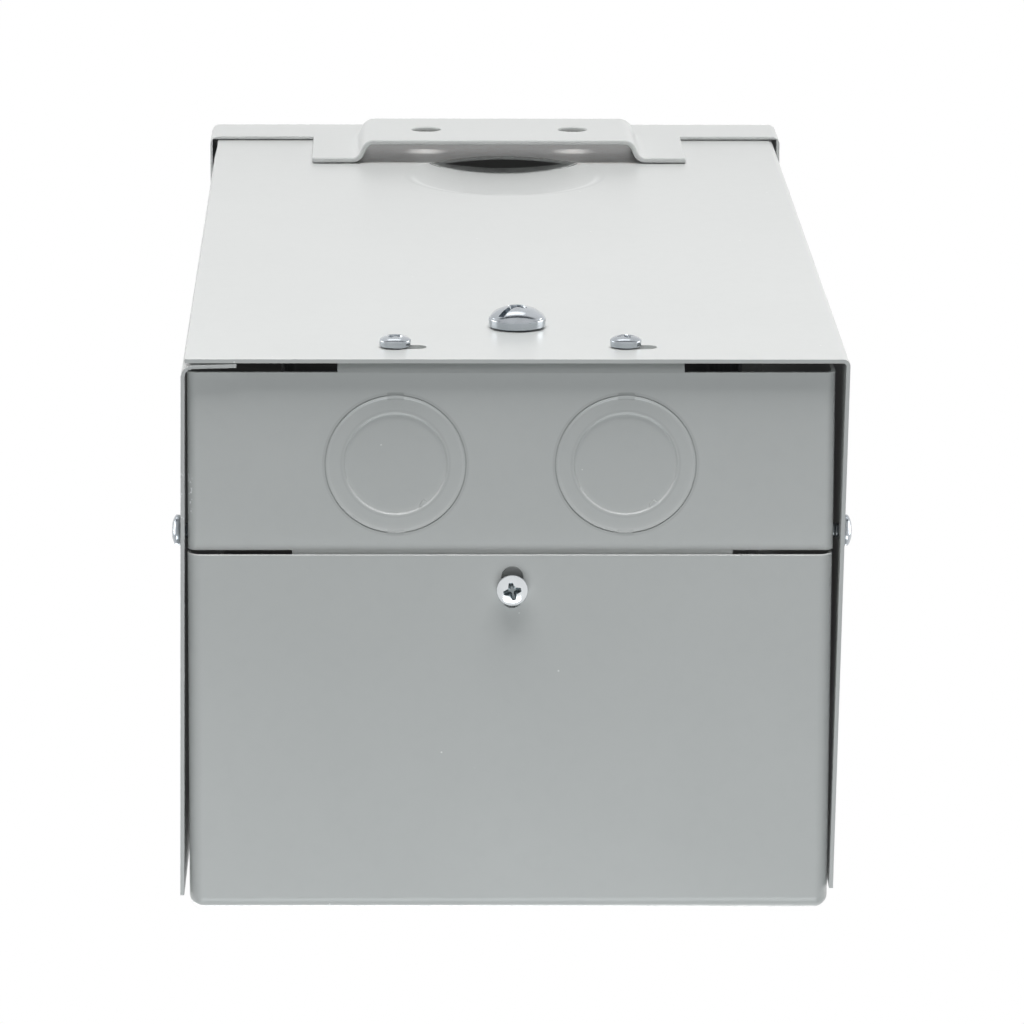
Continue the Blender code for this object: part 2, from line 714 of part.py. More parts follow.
def hinge_rivets(materials):
    face_y = COVER_Y - GAP - SHEET - GAP
    for name, x in (("hinge_rivet_left", -0.036), ("hinge_rivet_right", 0.036)):
        profile = ((0, 0.0014), (0.0016, 0.0011), (0.0030, 0.0))
        profile += ((0.0015, 0.0), (0.0015, -0.0012), (0, -0.0012))
        bm = turned(bmesh.new(), profile, (x, face_y, HINGE_Z + 0.0105), (0, -1, 0), 16)
        add_object(name, bm, materials["zinc"])


def padlock_staple(materials):
    """Tab that passes through the door's slot and takes a padlock in front of it."""
    half_z, half_x = 0.0055, 0.0010
    low = (-0.008, COVER_Y - GAP - 0.002, STAPLE_Z - 0.007)
    high = (0.008, COVER_Y - GAP, STAPLE_Z + 0.007)
    obj = add_object("padlock_staple", box(bmesh.new(), low, high), materials["zinc"])
    tip = COVER_Y - STAPLE_REACH
    outline = []
    for i in range(9):
        angle = math.pi * (0.5 + i / 8)
        outline.append((tip + half_z + half_z * math.cos(angle), STAPLE_Z + half_z * math.sin(angle)))
    outline += [(COVER_Y - 0.001, STAPLE_Z - half_z), (COVER_Y - 0.001, STAPLE_Z + half_z)]
    join(obj, extrude(bmesh.new(), outline, "X", (-half_x, half_x)))
    hole = bmesh.new()
    cylinder(hole, (0, tip + half_z, STAPLE_Z), (1, 0, 0), STAPLE_HOLE_R, -0.003, 0.003, 24)
    return cut(obj, hole)


# ---------------------------------------------------------------- screws


def pan_screw(name, seat, axis, length, material, high=PAN_HEAD_HIGH):
    """Pan-head screw whose head sits on the seat and points along the axis."""
    profile = ((0, high), (0.0024, high - 0.0001), (0.0035, high - 0.0006), (PAN_HEAD_R, high - 0.0014))
    profile += ((PAN_HEAD_R, GAP), (SCREW_R, GAP))
    profile += ((SCREW_R, -length + 0.0012), (SCREW_R * 0.55, -length), (0, -length))
    return add_object(name, turned(bmesh.new(), profile, seat, axis), material)


def enclosure_screws(materials):
    zinc = materials["zinc"]
    for name, x in zip(("back_screw_left", "back_screw_right"), BACK_SCREW_XS):
        pan_screw(name, (x, BACK_Y, BACK_SCREW_Z), (0, 1, 0), SCREW_LENGTH, zinc)
    side_drop = (BACK_Y - SIDE_SCREW_Y) / LEFT_WALL_DEPTH
    left_x = -HALF_WIDTH - LEFT_WALL_LEAN * side_drop
    right_x = RIGHT_WALL_X + RIGHT_WALL_LEAN * side_drop
    for name, x, side in (("side_screw_left", left_x, -1), ("side_screw_right", right_x, 1)):
        pan_screw(name, (x, SIDE_SCREW_Y, SIDE_SCREW_Z), (side, 0, 0), SCREW_LENGTH, zinc, SIDE_HEAD_HIGH)
    pan_screw("cover_screw", (COVER_SCREW_X, COVER_SCREW_Y, COVER_Z), (0, 0, -1), SCREW_LENGTH, zinc)
    ground_screw(materials)


def ground_screw(materials):
    """Large truss-head screw through the back wall into the ground bar."""
    high = TRUSS_HEAD_HIGH
    profile = ((0, high), (0.0030, high - 0.0005), (0.0053, high - 0.0016), (0.0068, high - 0.0028))
    profile += ((TRUSS_HEAD_R, high - 0.0034), (TRUSS_HEAD_R - 0.0002, GAP), (TRUSS_SCREW_R, GAP))
    profile += ((TRUSS_SCREW_R, -0.0130), (TRUSS_SCREW_R * 0.6, -0.0145), (0, -0.0145))
    seat = (GROUND_SCREW_X, BACK_Y, GROUND_SCREW_Z)
    add_object("ground_screw", turned(bmesh.new(), profile, seat, (0, 1, 0), 28), materials["zinc"])


# ---------------------------------------------------------------- inside structure


def mounting_pan(materials):
    """Hat-section plate on the back wall's inside, which carries the switch parts."""
    foot_y = INNER_Y - GAP - SHEET / 2
    top_y = PAN_Y - SHEET / 2
    half = PAN_HALF_X - SHEET / 2
    left, right = PAN_FOOT_XS
    path = ((left, foot_y), (-half, foot_y), (-half, top_y), (half, top_y), (half, foot_y), (right, foot_y))
    stations = (PAN_LOW_Z, PAN_HIGH_Z)
    return bent_sheet("mounting_pan", path, "Z", stations, materials["steel"], SHEET, 0.0025, 2)


def insulating_base(materials):
    """Moulded base with a deep channel and a shallow channel for the two load straps."""
    low = (-BASE_HALF_X, BREAKER_BACK_Y + GAP, PANEL_Z - BASE_HALF_Z)
    high = (BASE_HALF_X, PAN_Y - SHEET - GAP, PANEL_Z + BASE_HALF_Z)
    obj = add_object("insulating_base", box(bmesh.new(), low, high, 0.0012, 1), materials["base_plastic"])
    for bus in BUS_LAYOUT:
        cut(obj, bus_solid(bus, 0.0004, True))
    return obj


def bus_solid(bus, clearance, is_cutter):
    """T-shaped load strap, or the channel that clears it."""
    _, pole_x, back_y, lift = bus
    wide = BUS_HALF + clearance
    reach = BUS_REACH + clearance
    low_z = PANEL_Z + lift - wide
    high_z = PANEL_Z + lift + wide
    outline = (
        (pole_x - wide, PANEL_Z - reach),
        (pole_x + wide, PANEL_Z - reach),
        (pole_x + wide, low_z),
        (reach, low_z),
        (reach, high_z),
        (pole_x + wide, high_z),
        (pole_x + wide, PANEL_Z + reach),
        (pole_x - wide, PANEL_Z + reach),
    )
    front_y = BUS_CHANNEL_Y if is_cutter else back_y - BUS_THICK
    return extrude(bmesh.new(), outline, "Y", (back_y + clearance, front_y))


def lug(name, centre, size, bore_axis, material):
    """Box lug with a wire bore and a screw hole in its front."""
    low = [c - s / 2 for c, s in zip(centre, size)]
    high = [c + s / 2 for c, s in zip(centre, size)]
    obj = add_object(name, box(bmesh.new(), low, high, 0.0006, 1), material)
    bores = bmesh.new()
    cylinder(bores, (centre[0], centre[1] + 0.0008, centre[2]), bore_axis, LUG_BORE_R, -0.012, 0.012, 12)
    cut(obj, bores)
    top = bmesh.new()
    cylinder(top, centre, (0, -1, 0), 0.0033, 0.0, 0.010, 12)
    return cut(obj, top)


def lug_screw(name, centre, front_y, material):
    """Slotted set screw that presses on the wire."""
    reach = centre[1] - front_y
    profile = ((0, reach + 0.0015), (0.0028, reach + 0.0015), (0.0028, 0.0006), (0.0020, 0.0), (0, 0.0))
    obj = add_object(name, turned(bmesh.new(), profile, centre, (0, -1, 0), 12), material)
    tip = front_y - 0.0015
    low = (centre[0] - 0.004, tip - 0.001, centre[2] - 0.0004)
    high = (centre[0] + 0.004, tip + 0.0009, centre[2] + 0.0004)
    return cut(obj, box(bmesh.new(), low, high))


def load_parts(materials):
    """The two load straps and their lugs."""
    for bus in BUS_LAYOUT:
        tag, _, back_y, lift = bus
        add_object("load_bus_" + tag, bus_solid(bus, 0.0, False), materials["copper"])
        size = LOAD_LUG_SIZE
        centre = (BUS_REACH - 0.0062, back_y - BUS_THICK - GAP - size[1] / 2, PANEL_Z + lift)
        lug("load_lug_" + tag, centre, size, (1, 0, 0), materials["aluminium"])
        lug_screw("load_lug_screw_" + tag, centre, centre[1] - size[1] / 2, materials["zinc"])


def line_lugs(materials):
    """Line terminals at the outer end of each breaker."""
    size = LINE_LUG_SIZE
    reach = BREAKER_PITCH / 2 + BREAKER_LENGTH / 2 + GAP + size[2] / 2
    for source, sign in (("utility", 1), ("generator", -1)):
        for pole, x in (("l1", -POLE_X), ("l2", POLE_X)):
            centre = (x, LINE_LUG_Y, PANEL_Z + sign * reach)
            lug(f"{source}_lug_{pole}", centre, size, (0, 0, 1), materials["aluminium"])
            front_y = centre[1] - size[1] / 2
            lug_screw(f"{source}_lug_screw_{pole}", centre, front_y, materials["zinc"])


def neutral_parts(materials):
    """Neutral bar on its insulator, beside the breakers."""
    half_z = NEUTRAL_HALF_Z
    block_back = PAN_Y - SHEET - GAP
    block_front = block_back - 2 * BAR_HALF
    low = (NEUTRAL_X - BAR_HALF - 0.001, block_front, PANEL_Z - half_z - 0.005)
    high = (NEUTRAL_X + BAR_HALF + 0.001, block_back, PANEL_Z + half_z + 0.005)
    add_object("neutral_insulator", box(bmesh.new(), low, high, 0.001, 1), materials["base_plastic"])
    screws = [(f"neutral_screw_{i + 1}", (NEUTRAL_X, PANEL_Z + (i - 1) * NEUTRAL_PITCH)) for i in range(3)]
    low = (NEUTRAL_X - BAR_HALF, block_front - GAP - 2 * BAR_HALF, PANEL_Z - half_z)
    high = (NEUTRAL_X + BAR_HALF, block_front - GAP, PANEL_Z + half_z)
    terminal_bar("neutral_bar", low, high, screws, materials)


def ground_parts(materials):
    """Ground bar on the back wall's inside, held by the truss-head screw."""
    x, z = GROUND_SCREW_X, GROUND_SCREW_Z
    low = (x - GROUND_BAR_HALF_X, INNER_Y - GAP - GROUND_BAR_THICK, z - GROUND_BAR_HALF_Z)
    high = (x + GROUND_BAR_HALF_X, INNER_Y - GAP, z + GROUND_BAR_HALF_Z)
    spots = []
    for number, sign in ((1, -1), (2, 1)):
        spots.append((f"ground_bar_screw_{number}", (x + sign * GROUND_BAR_PITCH, z)))
    obj = terminal_bar("ground_bar", low, high, spots, materials)
    hole = bmesh.new()
    cylinder(hole, (x, INNER_Y, z), (0, 1, 0), TRUSS_SCREW_R + GAP, -0.02, 0.004, 20)
    cut(obj, hole)


def terminal_bar(name, low, high, screws, materials):
    """Bar with one screw over each cross bore."""
    obj = add_object(name, box(bmesh.new(), low, high, 0.0005, 1), materials["aluminium"])
    middle_y = (low[1] + high[1]) / 2
    bores = bmesh.new()
    for _, (x, z) in screws:
        cylinder(bores, (x, middle_y, z), (0, -1, 0), 0.0031, 0.0, 0.010, 12)
    cut(obj, bores)
    for screw_name, (x, z) in screws:
        lug_screw(screw_name, (x, middle_y - 0.0006, z), low[1], materials["zinc"])
    return obj


# ---------------------------------------------------------------- dead front and switches


def dead_front(materials):
    """Tray behind the window that hides the live parts, with an opening for each breaker's nose."""
    wide = WINDOW_HALF_X + 0.0025
    tall = WINDOW_HALF_Z + 0.0025
    front = COVER_Y + SHEET + 0.0005
    low = (-wide - SHEET, front - 0.01, PANEL_Z - tall - SHEET)
    high = (wide + SHEET, DEAD_FRONT_Y + SHEET, PANEL_Z + tall + SHEET)
    obj = add_object("dead_front", box(bmesh.new(), low, high, 0.0016, 2), materials["paint"])
    inner = box(bmesh.new(), (-wide, front - 0.03, PANEL_Z - tall), (wide, DEAD_FRONT_Y, PANEL_Z + tall))
    cut(obj, inner)
    cut(obj, box(bmesh.new(), (-0.1, front - 0.05, -0.5), (0.1, front, 0.5)))
    openings = bmesh.new()
    for sign in (1, -1):
        z = PANEL_Z + sign * BREAKER_PITCH / 2
        half_z = NOSE_HALF_Z + 0.0005
        box(openings, (-0.0258, DEAD_FRONT_Y - 0.01, z - half_z), (0.0258, DEAD_FRONT_Y + 0.01, z + half_z))
    for x in (-DEAD_FRONT_SCREW_X, DEAD_FRONT_SCREW_X):
        cylinder(openings, (x, DEAD_FRONT_Y, PANEL_Z), (0, 1, 0), SCREW_R + GAP, -0.005, 0.005, 16)
    for x in (-SLIDER_RIVET_X, SLIDER_RIVET_X):
        cylinder(openings, (x, DEAD_FRONT_Y, PANEL_Z), (0, 1, 0), 0.0018, -0.005, 0.005, 16)
    return cut(obj, openings)


def dead_front_brackets(materials):
    """Z brackets between the mounting pan and the dead front, each with a screw."""
    foot_y = PAN_Y - SHEET - GAP - SHEET / 2
    lip_y = DEAD_FRONT_Y + SHEET + GAP + SHEET / 2
    for side, sign in (("left", -1), ("right", 1)):
        xs = [sign * x for x in (0.0575, 0.0535, 0.0535, 0.0420)]
        path = list(zip(xs, (foot_y, foot_y, lip_y, lip_y)))
        half_z = 0.008 if side == "left" else 0.030
        stations = (PANEL_Z - half_z, PANEL_Z + half_z)
        name = "dead_front_bracket_" + side
        obj = bent_sheet(name, path, "Z", stations, materials["steel"], SHEET, 0.0022, 2)
        screw_x = sign * DEAD_FRONT_SCREW_X
        hole = cylinder(bmesh.new(), (screw_x, lip_y, PANEL_Z), (0, 1, 0), SCREW_R + GAP, -0.003, 0.003)
        cut(obj, hole)
        seat = (screw_x, DEAD_FRONT_Y, PANEL_Z)
        pan_screw("dead_front_screw_" + side, seat, (0, -1, 0), 0.0070, materials["zinc"])


def breaker_case(name, z, materials):
    """Two-pole moulded case with a raised nose, and a trough that the handle turns in."""
    half = BREAKER_LENGTH / 2
    low = (-BREAKER_HALF_X, BREAKER_SHOULDER_Y, z - half)
    high = (BREAKER_HALF_X, BREAKER_BACK_Y, z + half)
    obj = add_object(name, box(bmesh.new(), low, high, 0.001, 1), materials["black_plastic"])
    nose = bmesh.new()
    low = (-BREAKER_HALF_X, NOSE_Y, z - NOSE_HALF_Z)
    high = (BREAKER_HALF_X, BREAKER_SHOULDER_Y + 0.004, z + NOSE_HALF_Z)
    join(obj, box(nose, low, high, 0.0008, 1))
    trough = bmesh.new()
    wide = TOGGLE_HALF_X + 0.0006
    cylinder(trough, (0, TOGGLE_Y, z), (1, 0, 0), TOGGLE_R + 0.0005, -wide, wide, 28)
    cut(obj, trough)
    half_mouth = TOGGLE_R + 0.0008
    low = (-wide - 0.0002, NOSE_Y - 0.002, z - half_mouth)
    high = (wide + 0.0002, TOGGLE_Y, z + half_mouth)
    cut(obj, box(bmesh.new(), low, high))
    pin = bmesh.new()
    cylinder(pin, (0, TOGGLE_Y, z), (1, 0, 0), PIN_R + PIN_CLEARANCE, -0.0238, 0.0238, 16)
    cut(obj, pin)
    grooves = bmesh.new()
    box(grooves, (-0.0004, NOSE_Y - 0.001, z + TOGGLE_R + 0.002), (0.0004, NOSE_Y + 0.0008, z + 0.03))
    box(grooves, (-0.0004, NOSE_Y - 0.001, z - 0.03), (0.0004, NOSE_Y + 0.0008, z - TOGGLE_R - 0.002))
    return cut(obj, grooves)


def toggle(name, z, materials):
    """Two-pole handle turned up to its rest position. Its origin is on the pivot's axis."""
    rest = TOGGLE_SWING / 2
    bm = cylinder(bmesh.new(), (0, 0, 0), (1, 0, 0), TOGGLE_R, -TOGGLE_HALF_X, TOGGLE_HALF_X, 28)
    obj = add_object(name, bm, materials["handle_plastic"])
    arm = bmesh.new()
    half = TOGGLE_THICK / 2
    low = (-TOGGLE_HALF_X + 0.001, -TOGGLE_REACH, -half)
    high = (TOGGLE_HALF_X - 0.001, -0.002, half)
    join(obj, box(arm, low, high, 0.0008, 1))
    middle = bmesh.new()
    box(middle, (-0.0030, -TOGGLE_REACH - 0.001, -0.01), (0.0030, -TOGGLE_REACH + 0.0045, 0.01))
    cut(obj, middle)
    bore = bmesh.new()
    cylinder(bore, (0, 0, 0), (1, 0, 0), PIN_R + PIN_CLEARANCE, -0.03, 0.03, 16)
    cut(obj, bore)
    obj.location = (0, TOGGLE_Y, z)
    obj.rotation_euler = (-rest, 0, 0)
    profile = ((0, -0.0235), (PIN_R, -0.0235), (PIN_R, 0.0235), (0, 0.0235))
    pin = turned(bmesh.new(), profile, (0, TOGGLE_Y, z), (1, 0, 0), 16)
    add_object(name + "_pin", pin, materials["zinc"])
    return obj


def interlock_slider(materials):
    """Plate that carries both handles, so that one breaker is always off."""
    rest_lift = SLIDE_TRAVEL / 2
    middle_z = PANEL_Z + rest_lift
    half_z = BREAKER_PITCH / 2 + 0.0125
    low = (-SLIDER_HALF_X, SLIDER_Y - SLIDER_SHEET / 2, middle_z - half_z)
    high = (SLIDER_HALF_X, SLIDER_Y + SLIDER_SHEET / 2, middle_z + half_z)
    obj = add_object("interlock_slider", box(bmesh.new(), low, high), materials["red_plate"])
    holes = bmesh.new()
    slot_half = 0.0036
    for sign in (1, -1):
        z = middle_z + sign * BREAKER_PITCH / 2
        wide = TOGGLE_HALF_X + 0.0008
        box(holes, (-wide, SLIDER_Y - 0.003, z - slot_half), (wide, SLIDER_Y + 0.003, z + slot_half))
    for x in (-SLIDER_RIVET_X, SLIDER_RIVET_X):
        slot = obround((x, middle_z), rest_lift + 0.0031, 0.0031, True)
        extrude(holes, slot, "Y", (SLIDER_Y - 0.003, SLIDER_Y + 0.003))
    cut(obj, holes)
    grip = bmesh.new()
    box(grip, (-0.016, SLIDER_Y - 0.0095, middle_z - 0.0008), (0.016, SLIDER_Y, middle_z + 0.0008))
    return join(obj, grip)


def slider_rivets(materials):
    """Shoulder rivets that guide the slider."""
    for side, sign in (("left", -1), ("right", 1)):
        face = SLIDER_Y - SLIDER_SHEET / 2 - GAP
        seat = DEAD_FRONT_Y - GAP
        back = DEAD_FRONT_Y + SHEET + 0.0012
        profile = ((0, -face + 0.0012), (0.0038, -face + 0.0009), (0.0044, -face), (0.0028, -face))
        profile += ((0.0028, -seat), (0.0015, -seat), (0.0015, -back), (0, -back))
        bm = turned(bmesh.new(), profile, (sign * SLIDER_RIVET_X, 0, PANEL_Z), (0, -1, 0), 16)
        add_object("slider_rivet_" + side, bm, materials["zinc"])


def switches(materials):
    for source, sign in (("utility", 1), ("generator", -1)):
        z = PANEL_Z + sign * BREAKER_PITCH / 2
        breaker_case(source + "_breaker_case", z, materials)
        toggle(source + "_toggle", z, materials)
    interlock_slider(materials)
    slider_rivets(materials)


def main():
    clear_scene()
    materials = make_materials()
    back_wrap(materials)
    right_side_wall(materials)
    bottom_end_wall(materials)
    top_hood(materials)
    hanger_strap(materials)
    front_cover(materials)
    enclosure_screws(materials)
    weather_door(materials)
    hinge_leaf(materials)
    hinge_pin(materials)
    hinge_rivets(materials)
    padlock_staple(materials)
    mounting_pan(materials)
    insulating_base(materials)
    load_parts(materials)
    line_lugs(materials)
    neutral_parts(materials)
    ground_parts(materials)
    dead_front(materials)
    dead_front_brackets(materials)
    switches(materials)


main()
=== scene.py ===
"""Looks of the manual transfer switch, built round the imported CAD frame. Metres, +Z up, +Y into the wall."""

import json
import math

import bmesh
import bpy
from mathutils import Matrix, Vector

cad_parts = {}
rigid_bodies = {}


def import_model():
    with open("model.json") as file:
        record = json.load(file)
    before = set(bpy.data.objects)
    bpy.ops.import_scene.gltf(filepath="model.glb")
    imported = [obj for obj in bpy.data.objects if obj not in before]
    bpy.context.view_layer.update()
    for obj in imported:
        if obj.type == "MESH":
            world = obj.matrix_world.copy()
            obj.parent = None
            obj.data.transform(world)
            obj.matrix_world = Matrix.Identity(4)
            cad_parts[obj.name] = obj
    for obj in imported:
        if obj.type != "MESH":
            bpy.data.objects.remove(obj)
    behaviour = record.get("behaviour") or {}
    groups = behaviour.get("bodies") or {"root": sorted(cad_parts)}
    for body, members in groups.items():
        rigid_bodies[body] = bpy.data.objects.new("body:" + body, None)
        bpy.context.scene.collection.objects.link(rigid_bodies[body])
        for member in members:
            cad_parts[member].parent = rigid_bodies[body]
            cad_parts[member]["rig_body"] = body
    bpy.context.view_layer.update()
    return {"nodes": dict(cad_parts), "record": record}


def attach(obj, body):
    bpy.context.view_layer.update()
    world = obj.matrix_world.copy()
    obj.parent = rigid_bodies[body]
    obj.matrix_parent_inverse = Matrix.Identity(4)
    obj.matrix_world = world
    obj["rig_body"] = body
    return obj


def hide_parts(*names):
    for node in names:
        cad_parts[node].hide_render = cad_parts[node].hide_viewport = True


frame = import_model()

# ---------------------------------------------------------------- driving sizes, as in the CAD model

SHEET = 0.0010
STRAP_SHEET = 0.0015
GAP = 0.0003

HALF_WIDTH = 0.084
RIGHT_WALL_X = 0.0842
BACK_EDGE_X = 0.0832
BACK_Y = -0.0071
BOTTOM_Z = -0.314
TOP_Z = 0.046
WALL_TOP_Z = TOP_Z - SHEET - GAP
BEND = 0.0030
WRAP_BEND = 0.0018
LEFT_WALL_DEPTH = 0.1378
LEFT_WALL_LEAN = -0.0024
RIGHT_WALL_LEAN = 0.0010
INNER_Y = BACK_Y - SHEET

END_LEFT_X = -0.0805
END_RIGHT_X = 0.0828
END_Z = BOTTOM_Z + 0.0023
END_LOW_Y = BACK_Y - 0.0496
WING_TOP_Y = BACK_Y - 0.0038
TONGUE_LEFT_X = -0.0550
TONGUE_RIGHT_X = 0.0564
TONGUE_LOW_Y = BACK_Y - 0.0695
RISER_LEFT_X = -0.0424
RISER_RIGHT_X = 0.0449
RISER_FLANGE = 0.0270
END_FLANGE = 0.0180
KNOCKOUT_XS = (-0.0278, 0.0303)
KNOCKOUT_Y = BACK_Y - 0.0274
KNOCKOUT_OUTER_R = 0.01775
KNOCKOUT_INNER_R = 0.0131
KNOCKOUT_TAB_HALF = 0.0021

COVER_LEFT_X = -0.0803
COVER_RIGHT_X = 0.0829
COVER_Y = BACK_Y - 0.1437
COVER_SEAM_Y = BACK_Y - 0.0505
COVER_Z = BOTTOM_Z + 0.0006
COVER_TOP_Z = TOP_Z - SHEET - 2 * GAP
COVER_RADIUS = 0.0035
COVER_FLANGE = 0.020
COVER_SCREW_X = 0.0008
COVER_SLOT_Y = BACK_Y - 0.0589
COVER_SLOT_HALF = 0.0053
COVER_SLOT_R = 0.0027
COVER_SCREW_Y = BACK_Y - 0.0593
PANEL_Z = -0.146
WINDOW_HALF_X = 0.054
WINDOW_HALF_Z = 0.068
RIM = 0.003
DEAD_FRONT_Y = -0.1240
DEAD_FRONT_SCREW_X = 0.0470

STRAP_HALF_Z = 0.020
STRAP_FOOT_XS = (-0.0558, 0.0545)
STRAP_HEEL_XS = (-0.0419, 0.0407)
STRAP_TOP_XS = (-0.0395, 0.0383)
STRAP_BEND = 0.0038
STRAP_HOLE_XS = (-0.0228, 0.0208)
STRAP_HOLE_R = 0.0043

SCOOP_X = -0.0020
SCOOP_Z = -0.0400
SCOOP_HALF_X = 0.0285
SCOOP_HALF_Z = 0.0340
SCOOP_DEPTH = 0.0036
SCOOP_SHEAR_ANGLE = math.radians(129.5)
SCOOP_RAMP = 0.24
SCOOP_SHEAR_Z = SCOOP_Z - SCOOP_HALF_Z * math.cos(SCOOP_SHEAR_ANGLE)

PAN_HEAD_R = 0.0040
PAN_HEAD_HIGH = 0.0031
SIDE_HEAD_HIGH = 0.0025
SCREW_R = 0.0020
SCREW_LENGTH = 0.0100
TRUSS_HEAD_R = 0.00735
TRUSS_HEAD_HIGH = 0.0058
TRUSS_SCREW_R = 0.0031
TRUSS_SLOT_TURN = 49.0
BACK_SCREW_TURNS = (20, 52)
SIDE_SCREW_TURN = 33
COVER_SCREW_TURN = 12
DEAD_FRONT_SCREW_TURN = 25
SHANK_CLEARANCE = 0.0005
BACK_SCREW_XS = (-0.0280, 0.0304)
BACK_SCREW_Z = BOTTOM_Z + 0.0160
BACK_SLOT_SHIFT = 0.0028
BACK_SLOT_HALF = 0.0052
SLOT_R = 0.0026
GROUND_SCREW_X = -0.0010
GROUND_SCREW_Z = BOTTOM_Z + 0.0420
SIDE_SCREW_Y = BACK_Y - 0.0463
SIDE_SCREW_Z = BOTTOM_Z + 0.0105
BURR_YS = (-0.0490, -0.0370)
# Half the width of the boxes that trim a sheet, which is more than the part's own.
FAR = 0.1

# Screw recesses: reach and half width of a wing, waist between the wings, depth. The dome stands on the rim.
PAN_RECESS = (0.0024, 0.00050, 0.00095, 0.0019)
PAN_DOME_HIGH = 0.0012
TRUSS_RECESS = (0.0030, 0.00065, 0.00120, 0.0028)
TRUSS_SLOT_HALF = 0.0066
TRUSS_SLOT_HALF_WIDE = 0.00085
TRUSS_SLOT_DEPTH = 0.0022
TRUSS_RIM = 0.0028
THREAD_PITCH = 0.0008
TRUSS_THREAD_PITCH = 0.0011
TRUSS_SCREW_LENGTH = 0.0145
DEAD_FRONT_SCREW_LENGTH = 0.0070

# ---------------------------------------------------------------- camera, lights and floor

CAMERA_SPOT = (0.0327, 0.3128, -1.9131)
CAMERA_FORWARD = (-0.01938, -0.21908, 0.97552)
CAMERA_UP = (0.0, 0.9757, 0.21912)
CAMERA_LENS = 228.5
CAMERA_SENSOR = 36.0

FLOOR_Z = -2.3
FLOOR_HALF = 30.0
FLOOR_SEEN = 0.88
FLOOR_TONE = (0.33, 0.35, 0.36, 1.0)
WORLD_FILL = 0.02
WORLD_WHITE = (1.0, 1.0, 1.0, 1.0)
CEILING = (0.055, 0.065, 0.075, 1.0)
# The mirrored direction's parts where the ceiling begins to darken and where it is fully dark.
CEILING_FADES = (("Y", 0.45, 0.75), ("Z", 0.26, 0.10))
# Soft boxes: name, place, the point they face, width and height, watts, colour, whether gloss mirrors them.
WHITE = (1.0, 1.0, 1.0)
COOL = (0.96, 1.0, 1.01)
LIGHTS = (
    ("key_behind", (0.1, 1.5, 0.42), (0.0, 0.0, -0.2), (1.0, 0.45), 2.0, WHITE, True),
    ("end_rake", (0.0, 1.5, -0.57), (0.0, 0.0, -0.314), (1.4, 0.5), 28.5, WHITE, False),
    ("end_low", (0.0, -0.5, -0.75), (0.0, -0.09, -0.314), (0.6, 0.3), 2.25, COOL, True),
    ("front_soft", (0.5, -1.6, 0.8), (0.0, -0.15, -0.13), (1.2, 1.2), 32.0, WHITE, True),
    ("left_soft", (-1.6, 0.0, 0.3), (0.0, -0.07, -0.13), (1.0, 1.0), 16.0, WHITE, True),
    ("right_soft", (1.6, 0.0, 0.3), (0.0, -0.07, -0.13), (1.0, 1.0), 12.0, WHITE, True),
)


def make_camera():
    data = bpy.data.cameras.new("camera")
    data.lens = CAMERA_LENS
    data.sensor_width = CAMERA_SENSOR
    data.clip_start = 0.05
    data.clip_end = 60.0
    camera = bpy.data.objects.new("camera", data)
    bpy.context.scene.collection.objects.link(camera)
    back = -Vector(CAMERA_FORWARD).normalized()
    right = Vector(CAMERA_UP).cross(back).normalized()
    up = back.cross(right)
    turn = Matrix((right, up, back)).transposed().to_4x4()
    camera.matrix_world = Matrix.Translation(CAMERA_SPOT) @ turn
    bpy.context.scene.camera = camera


def make_light(name, spot, target, size, power, colour, mirrored):
    data = bpy.data.lights.new(name, "AREA")
    data.shape = "RECTANGLE"
    data.size, data.size_y = size
    data.energy = power
    data.color = colour
    light = bpy.data.objects.new(name, data)
    light.location = spot
    light.rotation_euler = (Vector(target) - Vector(spot)).to_track_quat("-Z", "Y").to_euler()
    light.visible_glossy = mirrored
    bpy.context.scene.collection.objects.link(light)


def seen_or_mirrored(tree):
    """1 for rays that see a surface directly or in a gloss, 0 for the light it scatters."""
    path = tree.nodes.new("ShaderNodeLightPath")
    larger = tree.nodes.new("ShaderNodeMath")
    larger.operation = "MAXIMUM"
    tree.links.new(path.outputs["Is Camera Ray"], larger.inputs[0])
    tree.links.new(path.outputs["Is Glossy Ray"], larger.inputs[1])
    return larger.outputs[0]


def dark_overhead(tree):
    """1 for gloss that mirrors the unlit ceiling over the bottom end, between the two raised soft boxes."""
    place = tree.nodes.new("ShaderNodeTexCoord")
    axes = tree.nodes.new("ShaderNodeSeparateXYZ")
    path = tree.nodes.new("ShaderNodeLightPath")
    tree.links.new(place.outputs["Generated"], axes.inputs[0])
    parts = [path.outputs["Is Glossy Ray"]]
    for output, low, high in CEILING_FADES:
        fade = tree.nodes.new("ShaderNodeMapRange")
        fade.inputs["From Min"].default_value = low
        fade.inputs["From Max"].default_value = high
        tree.links.new(axes.outputs[output], fade.inputs["Value"])
        parts.append(fade.outputs["Result"])
    product = parts[0]
    for part in parts[1:]:
        times = tree.nodes.new("ShaderNodeMath")
        times.operation = "MULTIPLY"
        tree.links.new(product, times.inputs[0])
        tree.links.new(part, times.inputs[1])
        product = times.outputs[0]
    return product


